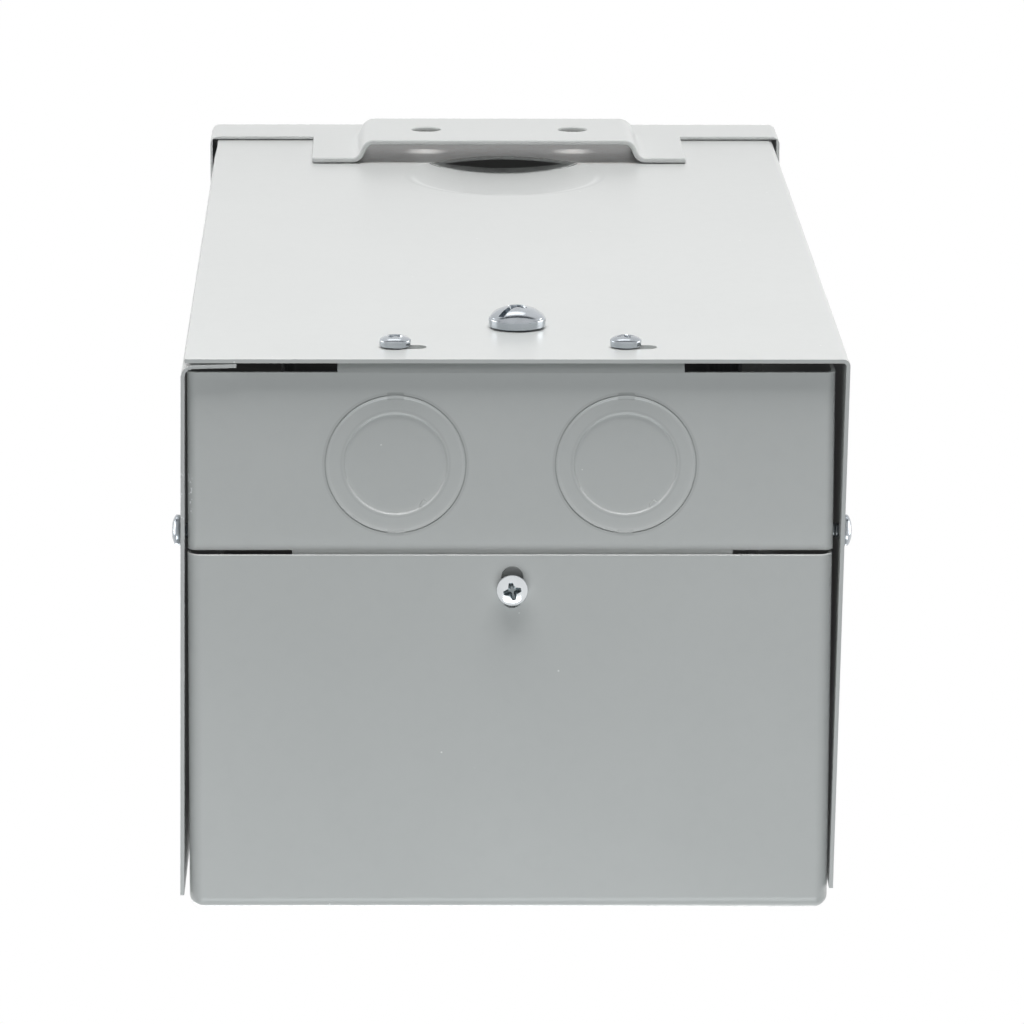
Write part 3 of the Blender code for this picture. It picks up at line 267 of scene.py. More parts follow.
def make_world():
    """White where it is seen or mirrored, apart from a dark ceiling, and a much softer white as the fill."""
    world = bpy.data.worlds.new("studio")
    world.use_nodes = True
    nodes, links = world.node_tree.nodes, world.node_tree.links
    nodes.clear()
    out = nodes.new("ShaderNodeOutputWorld")
    mix = nodes.new("ShaderNodeMixShader")
    fill = nodes.new("ShaderNodeBackground")
    seen = nodes.new("ShaderNodeBackground")
    fill.inputs["Color"].default_value = WORLD_WHITE
    fill.inputs["Strength"].default_value = WORLD_FILL
    tint = nodes.new("ShaderNodeMix")
    tint.data_type = "RGBA"
    tint.inputs[6].default_value = WORLD_WHITE
    tint.inputs[7].default_value = CEILING
    links.new(dark_overhead(world.node_tree), tint.inputs[0])
    links.new(tint.outputs[2], seen.inputs["Color"])
    links.new(seen_or_mirrored(world.node_tree), mix.inputs["Fac"])
    links.new(fill.outputs["Background"], mix.inputs[1])
    links.new(seen.outputs["Background"], mix.inputs[2])
    links.new(mix.outputs["Shader"], out.inputs["Surface"])
    bpy.context.scene.world = world


def make_floor():
    """Pale to the camera. To the object it is a softer grey, which keeps the bottom end in half shade."""
    bm = bmesh.new()
    bmesh.ops.create_grid(bm, x_segments=1, y_segments=1, size=FLOOR_HALF)
    mesh = bpy.data.meshes.new("floor")
    bm.to_mesh(mesh)
    bm.free()
    floor = bpy.data.objects.new("floor", mesh)
    floor.location = (0.0, 0.0, FLOOR_Z)
    bpy.context.scene.collection.objects.link(floor)
    material = bpy.data.materials.new("floor")
    material.use_nodes = True
    tree = material.node_tree
    shader = tree.nodes["Principled BSDF"]
    shader.inputs["Base Color"].default_value = FLOOR_TONE
    shader.inputs["Roughness"].default_value = 0.9
    seen = tree.nodes.new("ShaderNodeEmission")
    seen.inputs["Strength"].default_value = FLOOR_SEEN
    mix = tree.nodes.new("ShaderNodeMixShader")
    tree.links.new(seen_or_mirrored(tree), mix.inputs["Fac"])
    tree.links.new(shader.outputs["BSDF"], mix.inputs[1])
    tree.links.new(seen.outputs["Emission"], mix.inputs[2])
    tree.links.new(mix.outputs["Shader"], tree.nodes["Material Output"].inputs["Surface"])
    mesh.materials.append(material)


def make_studio():
    make_world()
    make_floor()
    for light in LIGHTS:
        make_light(*light)
    bpy.context.scene.view_settings.view_transform = "Standard"


# ---------------------------------------------------------------- material helpers


class Nodes:
    """Short calls that add shader nodes to one material."""

    def __init__(self, name):
        self.material = bpy.data.materials.new(name)
        self.material.use_nodes = True
        self.tree = self.material.node_tree
        self.shader = self.tree.nodes["Principled BSDF"]
        self.place = self.tree.nodes.new("ShaderNodeTexCoord").outputs["Object"]

    def node(self, kind, inputs=(), **settings):
        made = self.tree.nodes.new(kind)
        for key, value in settings.items():
            setattr(made, key, value)
        for key, value in dict(inputs).items():
            if isinstance(value, bpy.types.NodeSocket):
                self.tree.links.new(value, made.inputs[key])
            else:
                made.inputs[key].default_value = value
        return made

    def noise(self, scale, detail=2.0, roughness=0.5, place=None):
        inputs = {"Vector": place or self.place, "Scale": scale, "Detail": detail, "Roughness": roughness}
        return self.node("ShaderNodeTexNoise", inputs).outputs["Fac"]

    def spread(self, value, low, high, to_low=0.0, to_high=1.0, smooth=True):
        kind = "SMOOTHSTEP" if smooth else "LINEAR"
        inputs = {"Value": value, "From Min": low, "From Max": high, "To Min": to_low, "To Max": to_high}
        return self.node("ShaderNodeMapRange", inputs, interpolation_type=kind).outputs["Result"]

    def axes(self):
        return self.node("ShaderNodeSeparateXYZ", {"Vector": self.place}).outputs

    def math(self, operation, first, second=0.0, clamp=False):
        inputs = {0: first, 1: second}
        return self.node("ShaderNodeMath", inputs, operation=operation, use_clamp=clamp).outputs[0]

    def mix(self, amount, first, second):
        made = self.tree.nodes.new("ShaderNodeMix")
        made.data_type = "RGBA"
        for key, value in (("Factor", amount), ("A", first), ("B", second)):
            socket = [s for s in made.inputs if s.name == key and s.enabled][0]
            if isinstance(value, bpy.types.NodeSocket):
                self.tree.links.new(value, socket)
            else:
                socket.default_value = (*value, 1.0) if key != "Factor" else value
        return [s for s in made.outputs if s.enabled][0]

    def bump(self, height, distance, strength=1.0, below=None):
        inputs = {"Height": height, "Distance": distance, "Strength": strength}
        if below is not None:
            inputs["Normal"] = below
        return self.node("ShaderNodeBump", inputs).outputs["Normal"]

    def finish(self, colour, roughness, normal=None, **fixed):
        """Joins the results to the shader. The fixed values go straight onto its own sockets."""
        self.tree.links.new(colour, self.shader.inputs["Base Color"])
        self.tree.links.new(roughness, self.shader.inputs["Roughness"])
        if normal is not None:
            self.tree.links.new(normal, self.shader.inputs["Normal"])
        for key, value in fixed.items():
            self.shader.inputs[key.replace("_", " ")].default_value = value
        return self.material


def band(n, value, low, high, soft):
    """1 between low and high, with soft ends."""
    rise = n.spread(value, low - soft, low + soft)
    fall = n.spread(value, high - soft, high + soft, 1.0, 0.0)
    return n.math("MULTIPLY", rise, fall)


# Painted highlight and painted shade rings round the scoop: from and to these shares of its size, softness,
# strength and tone.
SCOOP_PAINTED_RINGS = (
    ((0.915, 0.965, 0.030), 0.42, (0.86, 0.87, 0.87)),
    ((1.000, 1.020, 0.020), 0.22, (0.30, 0.32, 0.33)),
)


def powder_coat():
    """Light grey powder coat with orange peel and faint cloudiness, a faint painted glow, and all the marks it
    carries, painted highlights and shade among them.
    """
    n = Nodes("paint")
    cloud = n.noise(9.0, 3.0, 0.55)
    fine = n.noise(240.0, 2.0, 0.6)
    tone = n.mix(n.spread(cloud, 0.35, 0.65), (0.548, 0.562, 0.555), (0.572, 0.585, 0.578))
    tone = n.mix(n.math("MULTIPLY", n.spread(fine, 0.4, 0.8), 0.06), tone, (0.42, 0.44, 0.44))
    tone = coat_marks(n, tone)
    normal = n.bump(n.noise(330.0, 1.0, 0.5), 0.00006, 0.25)
    normal = n.bump(n.noise(1500.0, 2.0, 0.5), 0.00002, 0.30, normal)
    rough = n.spread(cloud, 0.3, 0.7, 0.29, 0.34)
    # The coat glows faintly white: painted light, as the coat is no lamp.
    n.shader.inputs["Emission Color"].default_value = (1.0, 1.0, 1.0, 1.0)
    return n.finish(tone, rough, normal, Specular_IOR_Level=0.5, Metallic=0.0, Emission_Strength=0.009)


def coat_marks(n, tone):
    """Specks, the thin coat under the strap, the painted highlight and shade rings on the scoop, the painted
    shade on its sheared edge, the painted highlights and shade lines on the knockouts, and the flecks in the
    right gap.
    """
    tone = n.mix(n.math("MULTIPLY", pale_specks(n), 0.7), tone, (0.88, 0.89, 0.88))
    hidden, blotches = under_strap(n)
    tone = n.mix(n.math("MULTIPLY", hidden, blotches), tone, (0.500, 0.455, 0.433))
    # Rings of painted highlight and painted shade round the scoop's near rim.
    for shares, strength, mark in SCOOP_PAINTED_RINGS:
        tone = n.mix(n.math("MULTIPLY", painted_scoop_ring(n, *shares), strength), tone, mark)
    # The scoop's sheared edge is painted near black as shade.
    tone = n.mix(scoop_edge_shade(n), tone, (0.012, 0.013, 0.014))
    # Painted highlights and painted shade lines on the knockout rings.
    light, dark = knockout_painted_light(n)
    tone = n.mix(light, tone, (0.90, 0.91, 0.91))
    tone = n.mix(dark, tone, (0.10, 0.11, 0.11))
    return n.mix(burrs(n), tone, (0.92, 0.93, 0.93))


def pale_specks(n):
    """Grains of overspray, a few to each panel."""
    cells = n.node("ShaderNodeTexVoronoi", {"Vector": n.place, "Scale": 150.0, "Randomness": 1.0})
    dots = n.spread(cells.outputs["Distance"], 0.030, 0.045, 1.0, 0.0)
    return n.math("MULTIPLY", dots, n.spread(n.noise(47.0, 0.0), 0.59, 0.62))


def under_strap(n):
    """Where the strap hides the back wall, and how thin the paint is there."""
    x, y, z = n.axes()
    across = band(n, x, STRAP_HEEL_XS[0], STRAP_HEEL_XS[1], 0.0015)
    along = band(n, z, -STRAP_HALF_Z, STRAP_HALF_Z + 0.004, 0.0018)
    depth = band(n, y, BACK_Y - 0.0004, BACK_Y + 0.0002, 0.0001)
    hidden = n.math("MULTIPLY", n.math("MULTIPLY", across, along), depth)
    mottle = n.spread(n.noise(420.0, 5.0, 0.75), 0.42, 0.62, 0.30, 0.95)
    stain = n.spread(n.noise(95.0, 3.0, 0.6), 0.35, 0.65, 0.55, 1.0)
    return hidden, n.math("MULTIPLY", mottle, stain)


def painted_scoop_ring(n, low, high, soft):
    """A ring round the near side of the scoop, at shares of its size: a painted highlight on the pressed rim,
    or a painted line of shade beside it.
    """
    x, y, z = n.axes()
    across = n.math("MULTIPLY", n.math("SUBTRACT", x, SCOOP_X), 1 / SCOOP_HALF_X)
    along = n.math("MULTIPLY", n.math("SUBTRACT", z, SCOOP_Z), 1 / SCOOP_HALF_Z)
    ring = band(n, distance(n, across, along), low, high, soft)
    depth = band(n, y, BACK_Y - SCOOP_DEPTH, BACK_Y + 0.0002, 0.0001)
    near = n.spread(z, SCOOP_Z + 0.006, SCOOP_Z - 0.010)
    return n.math("MULTIPLY", n.math("MULTIPLY", ring, depth), near)


# Painted highlight and painted shade rings of the knockouts: from and to these radii, softness, strength, and
# where the mark lies.
KNOCKOUT_PAINTED_HIGHLIGHTS = (
    (KNOCKOUT_OUTER_R - 0.0010, KNOCKOUT_OUTER_R - 0.0006, 0.0002, 0.07, "all round"),
    (KNOCKOUT_OUTER_R - 0.0009, KNOCKOUT_OUTER_R - 0.0007, 0.0001, 0.50, "top"),
    (KNOCKOUT_INNER_R - 0.0003, KNOCKOUT_INNER_R + 0.0001, 0.0002, 0.42, "below"),
    (KNOCKOUT_INNER_R - 0.0003, KNOCKOUT_INNER_R + 0.0001, 0.0002, 0.16, "above"),
)
KNOCKOUT_PAINTED_SHADE = (
    (KNOCKOUT_OUTER_R + 0.0003, KNOCKOUT_OUTER_R + 0.0007, 0.0003, 0.16, "all round"),
    (KNOCKOUT_OUTER_R - 0.0001, KNOCKOUT_OUTER_R + 0.0002, 0.0001, 0.30, "all round"),
    (KNOCKOUT_INNER_R + 0.0004, KNOCKOUT_INNER_R + 0.0008, 0.0003, 0.10, "all round"),
    (KNOCKOUT_OUTER_R - 0.0012, KNOCKOUT_OUTER_R + 0.0007, 0.0003, 0.30, "upper tab"),
    (KNOCKOUT_OUTER_R - 0.0008, KNOCKOUT_OUTER_R + 0.0006, 0.0003, 0.14, "lower tab"),
)


def knockout_painted_light(n):
    """Painted highlights on the knockout rings, and painted shade in their shear lines and at their tabs."""
    x, y, z = n.axes()
    middle = sum(KNOCKOUT_XS) / 2
    across = n.math("ABSOLUTE", n.math("SUBTRACT", x, middle))
    across = n.math("ABSOLUTE", n.math("SUBTRACT", across, KNOCKOUT_XS[1] - middle))
    up = n.math("SUBTRACT", y, KNOCKOUT_Y)
    reach = distance(n, across, up)
    plate = n.spread(z, END_Z + 0.0012, END_Z + 0.0008)
    tab = n.spread(across, KNOCKOUT_TAB_HALF + 0.0003, KNOCKOUT_TAB_HALF - 0.0003)
    places = {"above": n.spread(up, 0.009, 0.013), "below": n.spread(up, -0.001, -0.011)}
    places["top"] = n.spread(up, 0.0145, 0.0165)
    places["upper tab"] = n.math("MULTIPLY", tab, places["above"])
    places["lower tab"] = n.math("MULTIPLY", tab, places["below"])
    light = total(n, reach, KNOCKOUT_PAINTED_HIGHLIGHTS, places)
    dark = total(n, reach, KNOCKOUT_PAINTED_SHADE, places)
    return n.math("MULTIPLY", light, plate, True), n.math("MULTIPLY", dark, plate, True)


def distance(n, first, second):
    """The length of the diagonal over two offsets."""
    square = n.math("ADD", n.math("MULTIPLY", first, first), n.math("MULTIPLY", second, second))
    return n.math("SQRT", square)


def total(n, reach, rings, places):
    """The sum of some rings, each with its strength and, where it isn't all round, its place."""
    whole = 0.0
    for low, high, soft, strength, place in rings:
        mark = n.math("MULTIPLY", band(n, reach, low, high, soft), strength)
        if place in places:
            mark = n.math("MULTIPLY", mark, places[place])
        whole = n.math("ADD", whole, mark)
    return whole


def burrs(n):
    """Bright flecks of torn coat where the end plate rubs on the right side wall."""
    x, y, z = n.axes()
    corner = n.spread(x, END_RIGHT_X - 0.0014, END_RIGHT_X - 0.0010)
    where = n.math("MULTIPLY", corner, band(n, y, *BURR_YS, 0.002))
    flecks = n.spread(n.noise(620.0, 3.0, 0.7), 0.55, 0.60)
    return n.math("MULTIPLY", n.math("MULTIPLY", where, flecks), n.spread(z, END_Z + 0.004, END_Z + 0.003))


def scoop_edge_shade(n):
    """Painted shade: the sheared edge of the back wall over the scoop, painted near black where it lies in
    shadow.
    """
    x, y, z = n.axes()
    across = band(n, x, SCOOP_X - SCOOP_HALF_X * 0.77, SCOOP_X + SCOOP_HALF_X * 0.77, 0.0002)
    along = band(n, z, SCOOP_SHEAR_Z - 0.0002, SCOOP_SHEAR_Z + 0.00025, 0.00005)
    depth = band(n, y, BACK_Y - SHEET - 0.0003, BACK_Y - 0.00012, 0.00004)
    return n.math("MULTIPLY", n.math("MULTIPLY", across, along), depth)


# The painted shade in the cover screw's recess: its radius, and the depths where it begins and is full.
RECESS_R = 0.0025
RECESS_DEPTHS = (0.0006, 0.0013)
RECESS_SHADE_STRENGTH = 0.8
RECESS_SHADE_TONE = (0.13, 0.16, 0.17)


def metal(name, dark, light, rough_low, rough_high, brush=None, shade_mask=None):
    """Plated or rolled metal with soft blotches and a fine grain, which a brush stretches along one axis.
    The function passed as the last argument says where painted shade darkens the metal."""
    n = Nodes(name)
    place = n.place
    if brush is not None:
        place = n.node("ShaderNodeMapping", {"Vector": n.place, "Scale": brush}).outputs["Vector"]
    blotch = n.noise(70.0, 3.0, 0.6)
    tiny = n.noise(900.0, 2.0, 0.6, place)
    tone = n.mix(n.spread(blotch, 0.3, 0.7), dark, light)
    if shade_mask is not None:
        tone = n.mix(n.math("MULTIPLY", shade_mask(n), RECESS_SHADE_STRENGTH), tone, RECESS_SHADE_TONE)
    rough = n.spread(tiny, 0.2, 0.8, rough_low, rough_high)
    normal = n.bump(tiny, 0.00001, 0.4)
    return n.finish(tone, rough, normal, Metallic=1.0)


def cover_screw_recess_shade(n):
    """The depth of the cover screw's recess, which is painted darker as shade."""
    x, y, z = n.axes()
    across = n.math("SUBTRACT", x, COVER_SCREW_X)
    up = n.math("SUBTRACT", y, COVER_SCREW_Y)
    inside = n.spread(distance(n, across, up), RECESS_R, RECESS_R - 0.0003)
    face = COVER_Z - PAN_HEAD_HIGH
    begins, full = RECESS_DEPTHS
    return n.math("MULTIPLY", inside, n.spread(z, face + begins, face + full))


def plastic(name, dark, light, rough_low, rough_high, peel):
    """Moulded plastic with a matt spark-eroded grain and faint flow marks."""
    n = Nodes(name)
    flow = n.noise(28.0, 4.0, 0.6)
    grain = n.noise(peel, 2.0, 0.6)
    tone = n.mix(n.spread(flow, 0.3, 0.7), dark, light)
    rough = n.spread(flow, 0.3, 0.7, rough_low, rough_high)
    normal = n.bump(grain, 0.00002, 0.5)
    return n.finish(tone, rough, normal, Metallic=0.0)


def enamel():
    """Red enamel on the interlock plate, with a slight orange peel."""
    n = Nodes("plate_enamel")
    cloud = n.noise(40.0, 3.0, 0.5)
    tone = n.mix(n.spread(cloud, 0.3, 0.7), (0.42, 0.030, 0.022), (0.52, 0.045, 0.030))
    rough = n.spread(cloud, 0.3, 0.7, 0.26, 0.36)
    normal = n.bump(n.noise(700.0, 2.0), 0.00002, 0.4)
    return n.finish(tone, rough, normal, Metallic=0.0)


BRUSHED = (1, 1, 0.05)
# Name, dark tone, light tone, roughness from and to, then the brushing or the moulded grain's scale.
METALS = (
    ("zinc", (0.35, 0.38, 0.41), (0.50, 0.53, 0.56), 0.11, 0.20, None),
    ("galvanised", (0.45, 0.46, 0.48), (0.62, 0.63, 0.65), 0.30, 0.50, None),
    ("aluminium", (0.70, 0.71, 0.72), (0.82, 0.83, 0.84), 0.25, 0.42, BRUSHED),
    ("copper", (0.72, 0.36, 0.24), (0.86, 0.48, 0.33), 0.20, 0.36, BRUSHED),
)
# A brighter copy of the zinc for the cover screw, painted lighter to stand in for the light it reflects.
PAINTED_BRIGHT_ZINC = ("new_zinc", (0.66, 0.69, 0.71), (0.80, 0.83, 0.85), 0.12, 0.20, None)
PLASTICS = (
    ("case_plastic", (0.018, 0.018, 0.020), (0.030, 0.030, 0.033), 0.42, 0.55, 1400.0),
    ("handle_plastic", (0.022, 0.022, 0.025), (0.034, 0.034, 0.038), 0.26, 0.36, 900.0),
    ("base_plastic", (0.060, 0.034, 0.024), (0.095, 0.055, 0.038), 0.45, 0.60, 1100.0),
)


def make_materials():
    made = {"paint": powder_coat(), "plate_enamel": enamel()}
    made["new_zinc"] = metal(*PAINTED_BRIGHT_ZINC, cover_screw_recess_shade)
    made |= {row[0]: metal(*row) for row in METALS}
    made |= {row[0]: plastic(*row) for row in PLASTICS}
    return made


# ---------------------------------------------------------------- frame lookups


def slot_of(node):
    rows = frame["record"]["subparts"]
    return next(row["material_slot"] for row in rows if row["node"] == node)


def body_of(node):
    return frame["nodes"][node]["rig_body"]


def dress_node(node, material):
    mesh = frame["nodes"][node].data
    mesh.materials.clear()
    mesh.materials.append(material)


# ---------------------------------------------------------------- shape helpers


def solid(name, bm):
    """A mesh object from a closed bmesh."""
    bmesh.ops.recalc_face_normals(bm, faces=bm.faces)
    mesh = bpy.data.meshes.new(name)
    bm.to_mesh(mesh)
    bm.free()
    obj = bpy.data.objects.new(name, mesh)
    bpy.context.scene.collection.objects.link(obj)
    return obj


def bake(obj):
    """Applies the modifiers."""
    depsgraph = bpy.context.evaluated_depsgraph_get()
    mesh = bpy.data.meshes.new_from_object(obj.evaluated_get(depsgraph))
    obj.modifiers.clear()
    obj.data = mesh
    return obj


def combine(obj, bm, operation="DIFFERENCE"):
    """Cuts a solid out of an object, or joins one to it."""
    helper = solid("helper", bm)
    modifier = obj.modifiers.new("combine", "BOOLEAN")
    modifier.operation = operation
    modifier.solver = "EXACT"
    modifier.object = helper
    bake(obj)
    bpy.data.objects.remove(helper)
    return obj


def placed(along, a, b, c):
    """A point from two outline coordinates and one along the axis."""
    return {"X": (c, a, b), "Y": (a, c, b), "Z": (a, b, c)}[along]


def extrude(bm, outline, along, stations):
    """Adds a closed prism through two or more stations along an axis."""
    rings = [[bm.verts.new(placed(along, a, b, c)) for a, b in outline] for c in stations]
    count = len(outline)
    bm.faces.new(rings[0])
    bm.faces.new(rings[-1])
    for low, high in zip(rings, rings[1:]):
        for i in range(count):
            j = (i + 1) % count
            bm.faces.new((low[i], low[j], high[j], high[i]))
    return bm


def box(bm, low, high, radius=0.0, steps=4):
    """Adds a box between two corners, with all its edges rounded if a radius is given."""
    sizes = [h - l for l, h in zip(low, high)]
    middle = [(l + h) / 2 for l, h in zip(low, high)]
    matrix = Matrix.Translation(middle) @ Matrix.Diagonal((*sizes, 1.0))
    made = bmesh.ops.create_cube(bm, size=1.0, matrix=matrix)
    if radius > 0.0:
        edges = list({e for v in made["verts"] for e in v.link_edges})
        bmesh.ops.bevel(bm, geom=edges, offset=radius, segments=steps, profile=0.5, affect="EDGES")
    return bm


def turned(bm, profile, centre, axis, sides=64):
    """Adds a body of revolution. The profile's pairs are (radius, height along the axis)."""
    turn = Vector((0, 0, 1)).rotation_difference(Vector(axis)).to_matrix()
    rings = []
    for radius, height in profile:
        count = sides if radius > 0.0 else 1
        ring = []
        for i in range(count):
            angle = 2 * math.pi * i / sides
            point = Vector((radius * math.cos(angle), radius * math.sin(angle), height))
            ring.append(bm.verts.new(turn @ point + Vector(centre)))
        rings.append(ring)
    for first, second in zip(rings, rings[1:]):
        for i in range(sides):
            j = (i + 1) % sides
            corners = [first[i % len(first)], first[j % len(first)]]
            corners += [second[j % len(second)], second[i % len(second)]]
            bm.faces.new(list(dict.fromkeys(corners)))
    return bm


def cylinder(bm, centre, axis, radius, low, high, sides=48):
    return turned(bm, ((0.0, low), (radius, low), (radius, high), (0.0, high)), centre, axis, sides)


def obround(centre, half_length, radius, vertical, steps=14):
    """The outline of a slot with round ends, half_length from its centre to each end's tip."""
    points = []
    reach = half_length - radius
    for sign in (1, -1):
        for i in range(steps + 1):
            angle = math.pi * (i / steps - 0.5)
            along = sign * (reach + radius * math.cos(angle))
            across = sign * radius * math.sin(angle)
            offset = (-across, along) if vertical else (along, across)
            points.append((centre[0] + offset[0], centre[1] + offset[1]))
    return points


def normal_of(start, end):
    direction = (end - start).normalized()
    return Vector((-direction.y, direction.x))


def bent_outline(path, thickness, radius, steps=8):
    """The closed outline of a sheet bent along a path, which is the middle of its thickness."""
    line = [Vector(p) for p in path]
    marks = [(line[0], normal_of(line[0], line[1]))]
    for before, corner, after in zip(line, line[1:], line[2:]):
        marks += bend_marks(before, corner, after, radius, steps)
    marks.append((line[-1], normal_of(line[-2], line[-1])))
    half = thickness / 2
    outer = [tuple(point + normal * half) for point, normal in marks]
    inner = [tuple(point - normal * half) for point, normal in marks]
    return outer + inner[::-1]


def bend_marks(before, corner, after, radius, steps):
    """Points and normals along the arc that rounds one corner."""
    arriving = (corner - before).normalized()
    leaving = (after - corner).normalized()
    turn = arriving.angle_signed(leaving, 0.0)
    side = -1.0 if turn > 0 else 1.0
    start = corner - arriving * radius * math.tan(abs(turn) / 2)
    centre = start + normal_of(before, corner) * radius * side
    marks = []
    for i in range(steps + 1):
        normal = normal_of(before, corner)
        normal.rotate(Matrix.Rotation(-turn * i / steps, 2))
        marks.append((centre - normal * radius * side, normal))
    return marks


def round_edges(obj, width, segments=2, least=math.radians(38)):
    """Merges flat facets, then gives every edge that is sharper than an angle a small radius."""
    bm = bmesh.new()
    bm.from_mesh(obj.data)
    bmesh.ops.remove_doubles(bm, verts=bm.verts, dist=0.000002)
    bmesh.ops.dissolve_limit(bm, angle_limit=math.radians(0.3), verts=bm.verts, edges=bm.edges)
    bm.to_mesh(obj.data)
    bm.free()
    if width > 0.0:
        modifier = obj.modifiers.new("round", "BEVEL")
        modifier.width = width
        modifier.segments = segments
        modifier.limit_method = "ANGLE"
        modifier.angle_limit = least
        modifier.use_clamp_overlap = True
        modifier.miter_outer = "MITER_ARC"
    bake(obj)
    obj.data.shade_smooth()
    obj.data.set_sharp_from_angle(angle=math.radians(60))
    weighted = obj.modifiers.new("weighted", "WEIGHTED_NORMAL")
    weighted.keep_sharp = True
    return bake(obj)


def stand_for(obj, node, materials):
    """Makes an object the visible form of one CAD node."""
    obj.data.materials.clear()
    obj.data.materials.append(materials[slot_of(node)])
    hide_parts(node)
    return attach(obj, body_of(node))


def soften(node, materials, width=0.00025):
    """A copy of a CAD node with rounded edges and smooth bends."""
    obj = bpy.data.objects.new(node + "_finished", frame["nodes"][node].data.copy())
    bpy.context.scene.collection.objects.link(obj)
    return stand_for(round_edges(obj, width), node, materials)


# ---------------------------------------------------------------- sheet-metal pieces


def lean_wall(obj, side, depth, lean):
    """Springs a side wall's front edge outwards by lean at the bottom end, fading out at the hood."""
    for vertex in obj.data.vertices:
        down = (BACK_Y - vertex.co.y) / depth
        free = (WALL_TOP_Z - vertex.co.z) / (WALL_TOP_Z - BOTTOM_Z)
        if vertex.co.x * side > HALF_WIDTH - BEND:
            vertex.co.x += side * lean * max(0.0, down) * free


def scoop_surface(u, v):
    """A point of the scoop at u across, from -1 to 1, and v along, from 0 near to 1 at the shear."""
    angle = v * SCOOP_SHEAR_ANGLE
    edge_x = SCOOP_HALF_X * math.sin(angle)
    edge_z = SCOOP_Z - SCOOP_HALF_Z * math.cos(angle)
    middle_z = SCOOP_Z - SCOOP_HALF_Z + 2 * SCOOP_HALF_Z * v
    crown = 1 - u * u
    z = edge_z + (middle_z - edge_z) * crown
    fall = 0.78 * math.sin(min(1.0, v / SCOOP_RAMP) * math.pi / 2) ** 2 + 0.22 * v
    return SCOOP_X + edge_x * u, z, SCOOP_DEPTH * fall * crown**1.25


def scoop_solid(bm, flat_y, drop, columns=40, rows=40):
    """Adds the solid between a plane of constant y and the scoop's surface moved in by drop."""
    flat, curved = [], []
    for row in range(rows + 1):
        v = 0.02 + 0.98 * row / rows
        for column in range(columns + 1):
            x, z, depth = scoop_surface(math.sin((column / columns - 0.5) * math.pi), v)
            flat.append(bm.verts.new((x, flat_y, z)))
            curved.append(bm.verts.new((x, BACK_Y - depth - drop, z)))
    wide = columns + 1
    for row in range(rows):
        for column in range(columns):
            i = row * wide + column
            for grid in (flat, curved):
                bm.faces.new((grid[i], grid[i + 1], grid[i + wide + 1], grid[i + wide]))
    rim = list(range(wide)) + [wide * r + columns for r in range(1, rows + 1)]
    rim += [wide * rows + c for c in range(columns - 1, -1, -1)]
    rim += [wide * r for r in range(rows - 1, 0, -1)]
    for i, j in zip(rim, rim[1:] + rim[:1]):
        bm.faces.new((flat[i], flat[j], curved[j], curved[i]))
    return bm


def back_wrap(materials):
    """Back wall and left side wall in one sheet, with the vent scoop and the screw slots."""
    middle_y = BACK_Y - SHEET / 2
    wall_x = -HALF_WIDTH + SHEET / 2
    path = ((BACK_EDGE_X, middle_y), (wall_x, middle_y), (wall_x, BACK_Y - LEFT_WALL_DEPTH))
    outline = bent_outline(path, SHEET, WRAP_BEND - SHEET / 2)
    obj = solid("back_wrap_finished", extrude(bmesh.new(), outline, "Z", (BOTTOM_Z, WALL_TOP_Z)))
    lean_wall(obj, -1, LEFT_WALL_DEPTH, LEFT_WALL_LEAN)
    combine(obj, scoop_solid(bmesh.new(), middle_y, SHEET + 0.00001), "UNION")
    combine(obj, scoop_solid(bmesh.new(), BACK_Y + 0.001, 0.00001))
    holes = bmesh.new()
    for x in BACK_SCREW_XS:
        slot = obround((x - BACK_SLOT_SHIFT, BACK_SCREW_Z), BACK_SLOT_HALF, SLOT_R, False)
        extrude(holes, slot, "Y", (BACK_Y + 0.002, BACK_Y - 0.004))
    truss_hole_r = TRUSS_SCREW_R + SHANK_CLEARANCE
    cylinder(holes, (GROUND_SCREW_X, BACK_Y, GROUND_SCREW_Z), (0, 1, 0), truss_hole_r, -0.004, 0.002)
    side = (-HALF_WIDTH, SIDE_SCREW_Y, SIDE_SCREW_Z)
    cylinder(holes, side, (1, 0, 0), SCREW_R + SHANK_CLEARANCE, -0.003, 0.005)
    combine(obj, holes)
    return stand_for(round_edges(obj, 0.00022), "back_wrap", materials)


# ---------------------------------------------------------------- bottom end wall


def knockout_profile(drop):
    """Half section of a dished concentric knockout, as radius and depth from the wall's outer face."""
    ledge = KNOCKOUT_INNER_R
    outer = KNOCKOUT_OUTER_R
    return (
        (0.0, 0.00098 + drop),
        (ledge - 0.00150, 0.00096 + drop),
        (ledge - 0.00050, 0.00090 + drop),
        (ledge - 0.00018, 0.00078 + drop),
        (ledge, 0.00052 + drop),
        (ledge + 0.00050, 0.00044 + drop),
        (outer - 0.00210, 0.00040 + drop),
        (outer - 0.00110, 0.00033 + drop),
        (outer - 0.00040, 0.00018 + drop),
        (outer, 0.00000 + drop),
    )


def ring_sector(centre, inner, outer, start, end, steps=40):
    """The (x, y) outline of part of a ring."""
    points = []
    for radius, order in ((outer, range(steps + 1)), (inner, range(steps, -1, -1))):
        for i in order:
            angle = start + (end - start) * i / steps
            points.append((centre[0] + radius * math.cos(angle), centre[1] + radius * math.sin(angle)))
    return points


def cut_shear_lines(obj, x):
    """The thin sheared ring of one knockout, broken by a tab at the top and one at the bottom."""
    tab = KNOCKOUT_TAB_HALF / KNOCKOUT_OUTER_R
    for start in (math.pi / 2, -math.pi / 2):
        outline = ring_sector(
            (x, KNOCKOUT_Y),
            KNOCKOUT_OUTER_R - 0.00016,
            KNOCKOUT_OUTER_R + 0.00014,
            start + tab,
            start + math.pi - tab,
        )
        combine(obj, extrude(bmesh.new(), outline, "Z", (END_Z - 0.001, END_Z + 0.00028)))


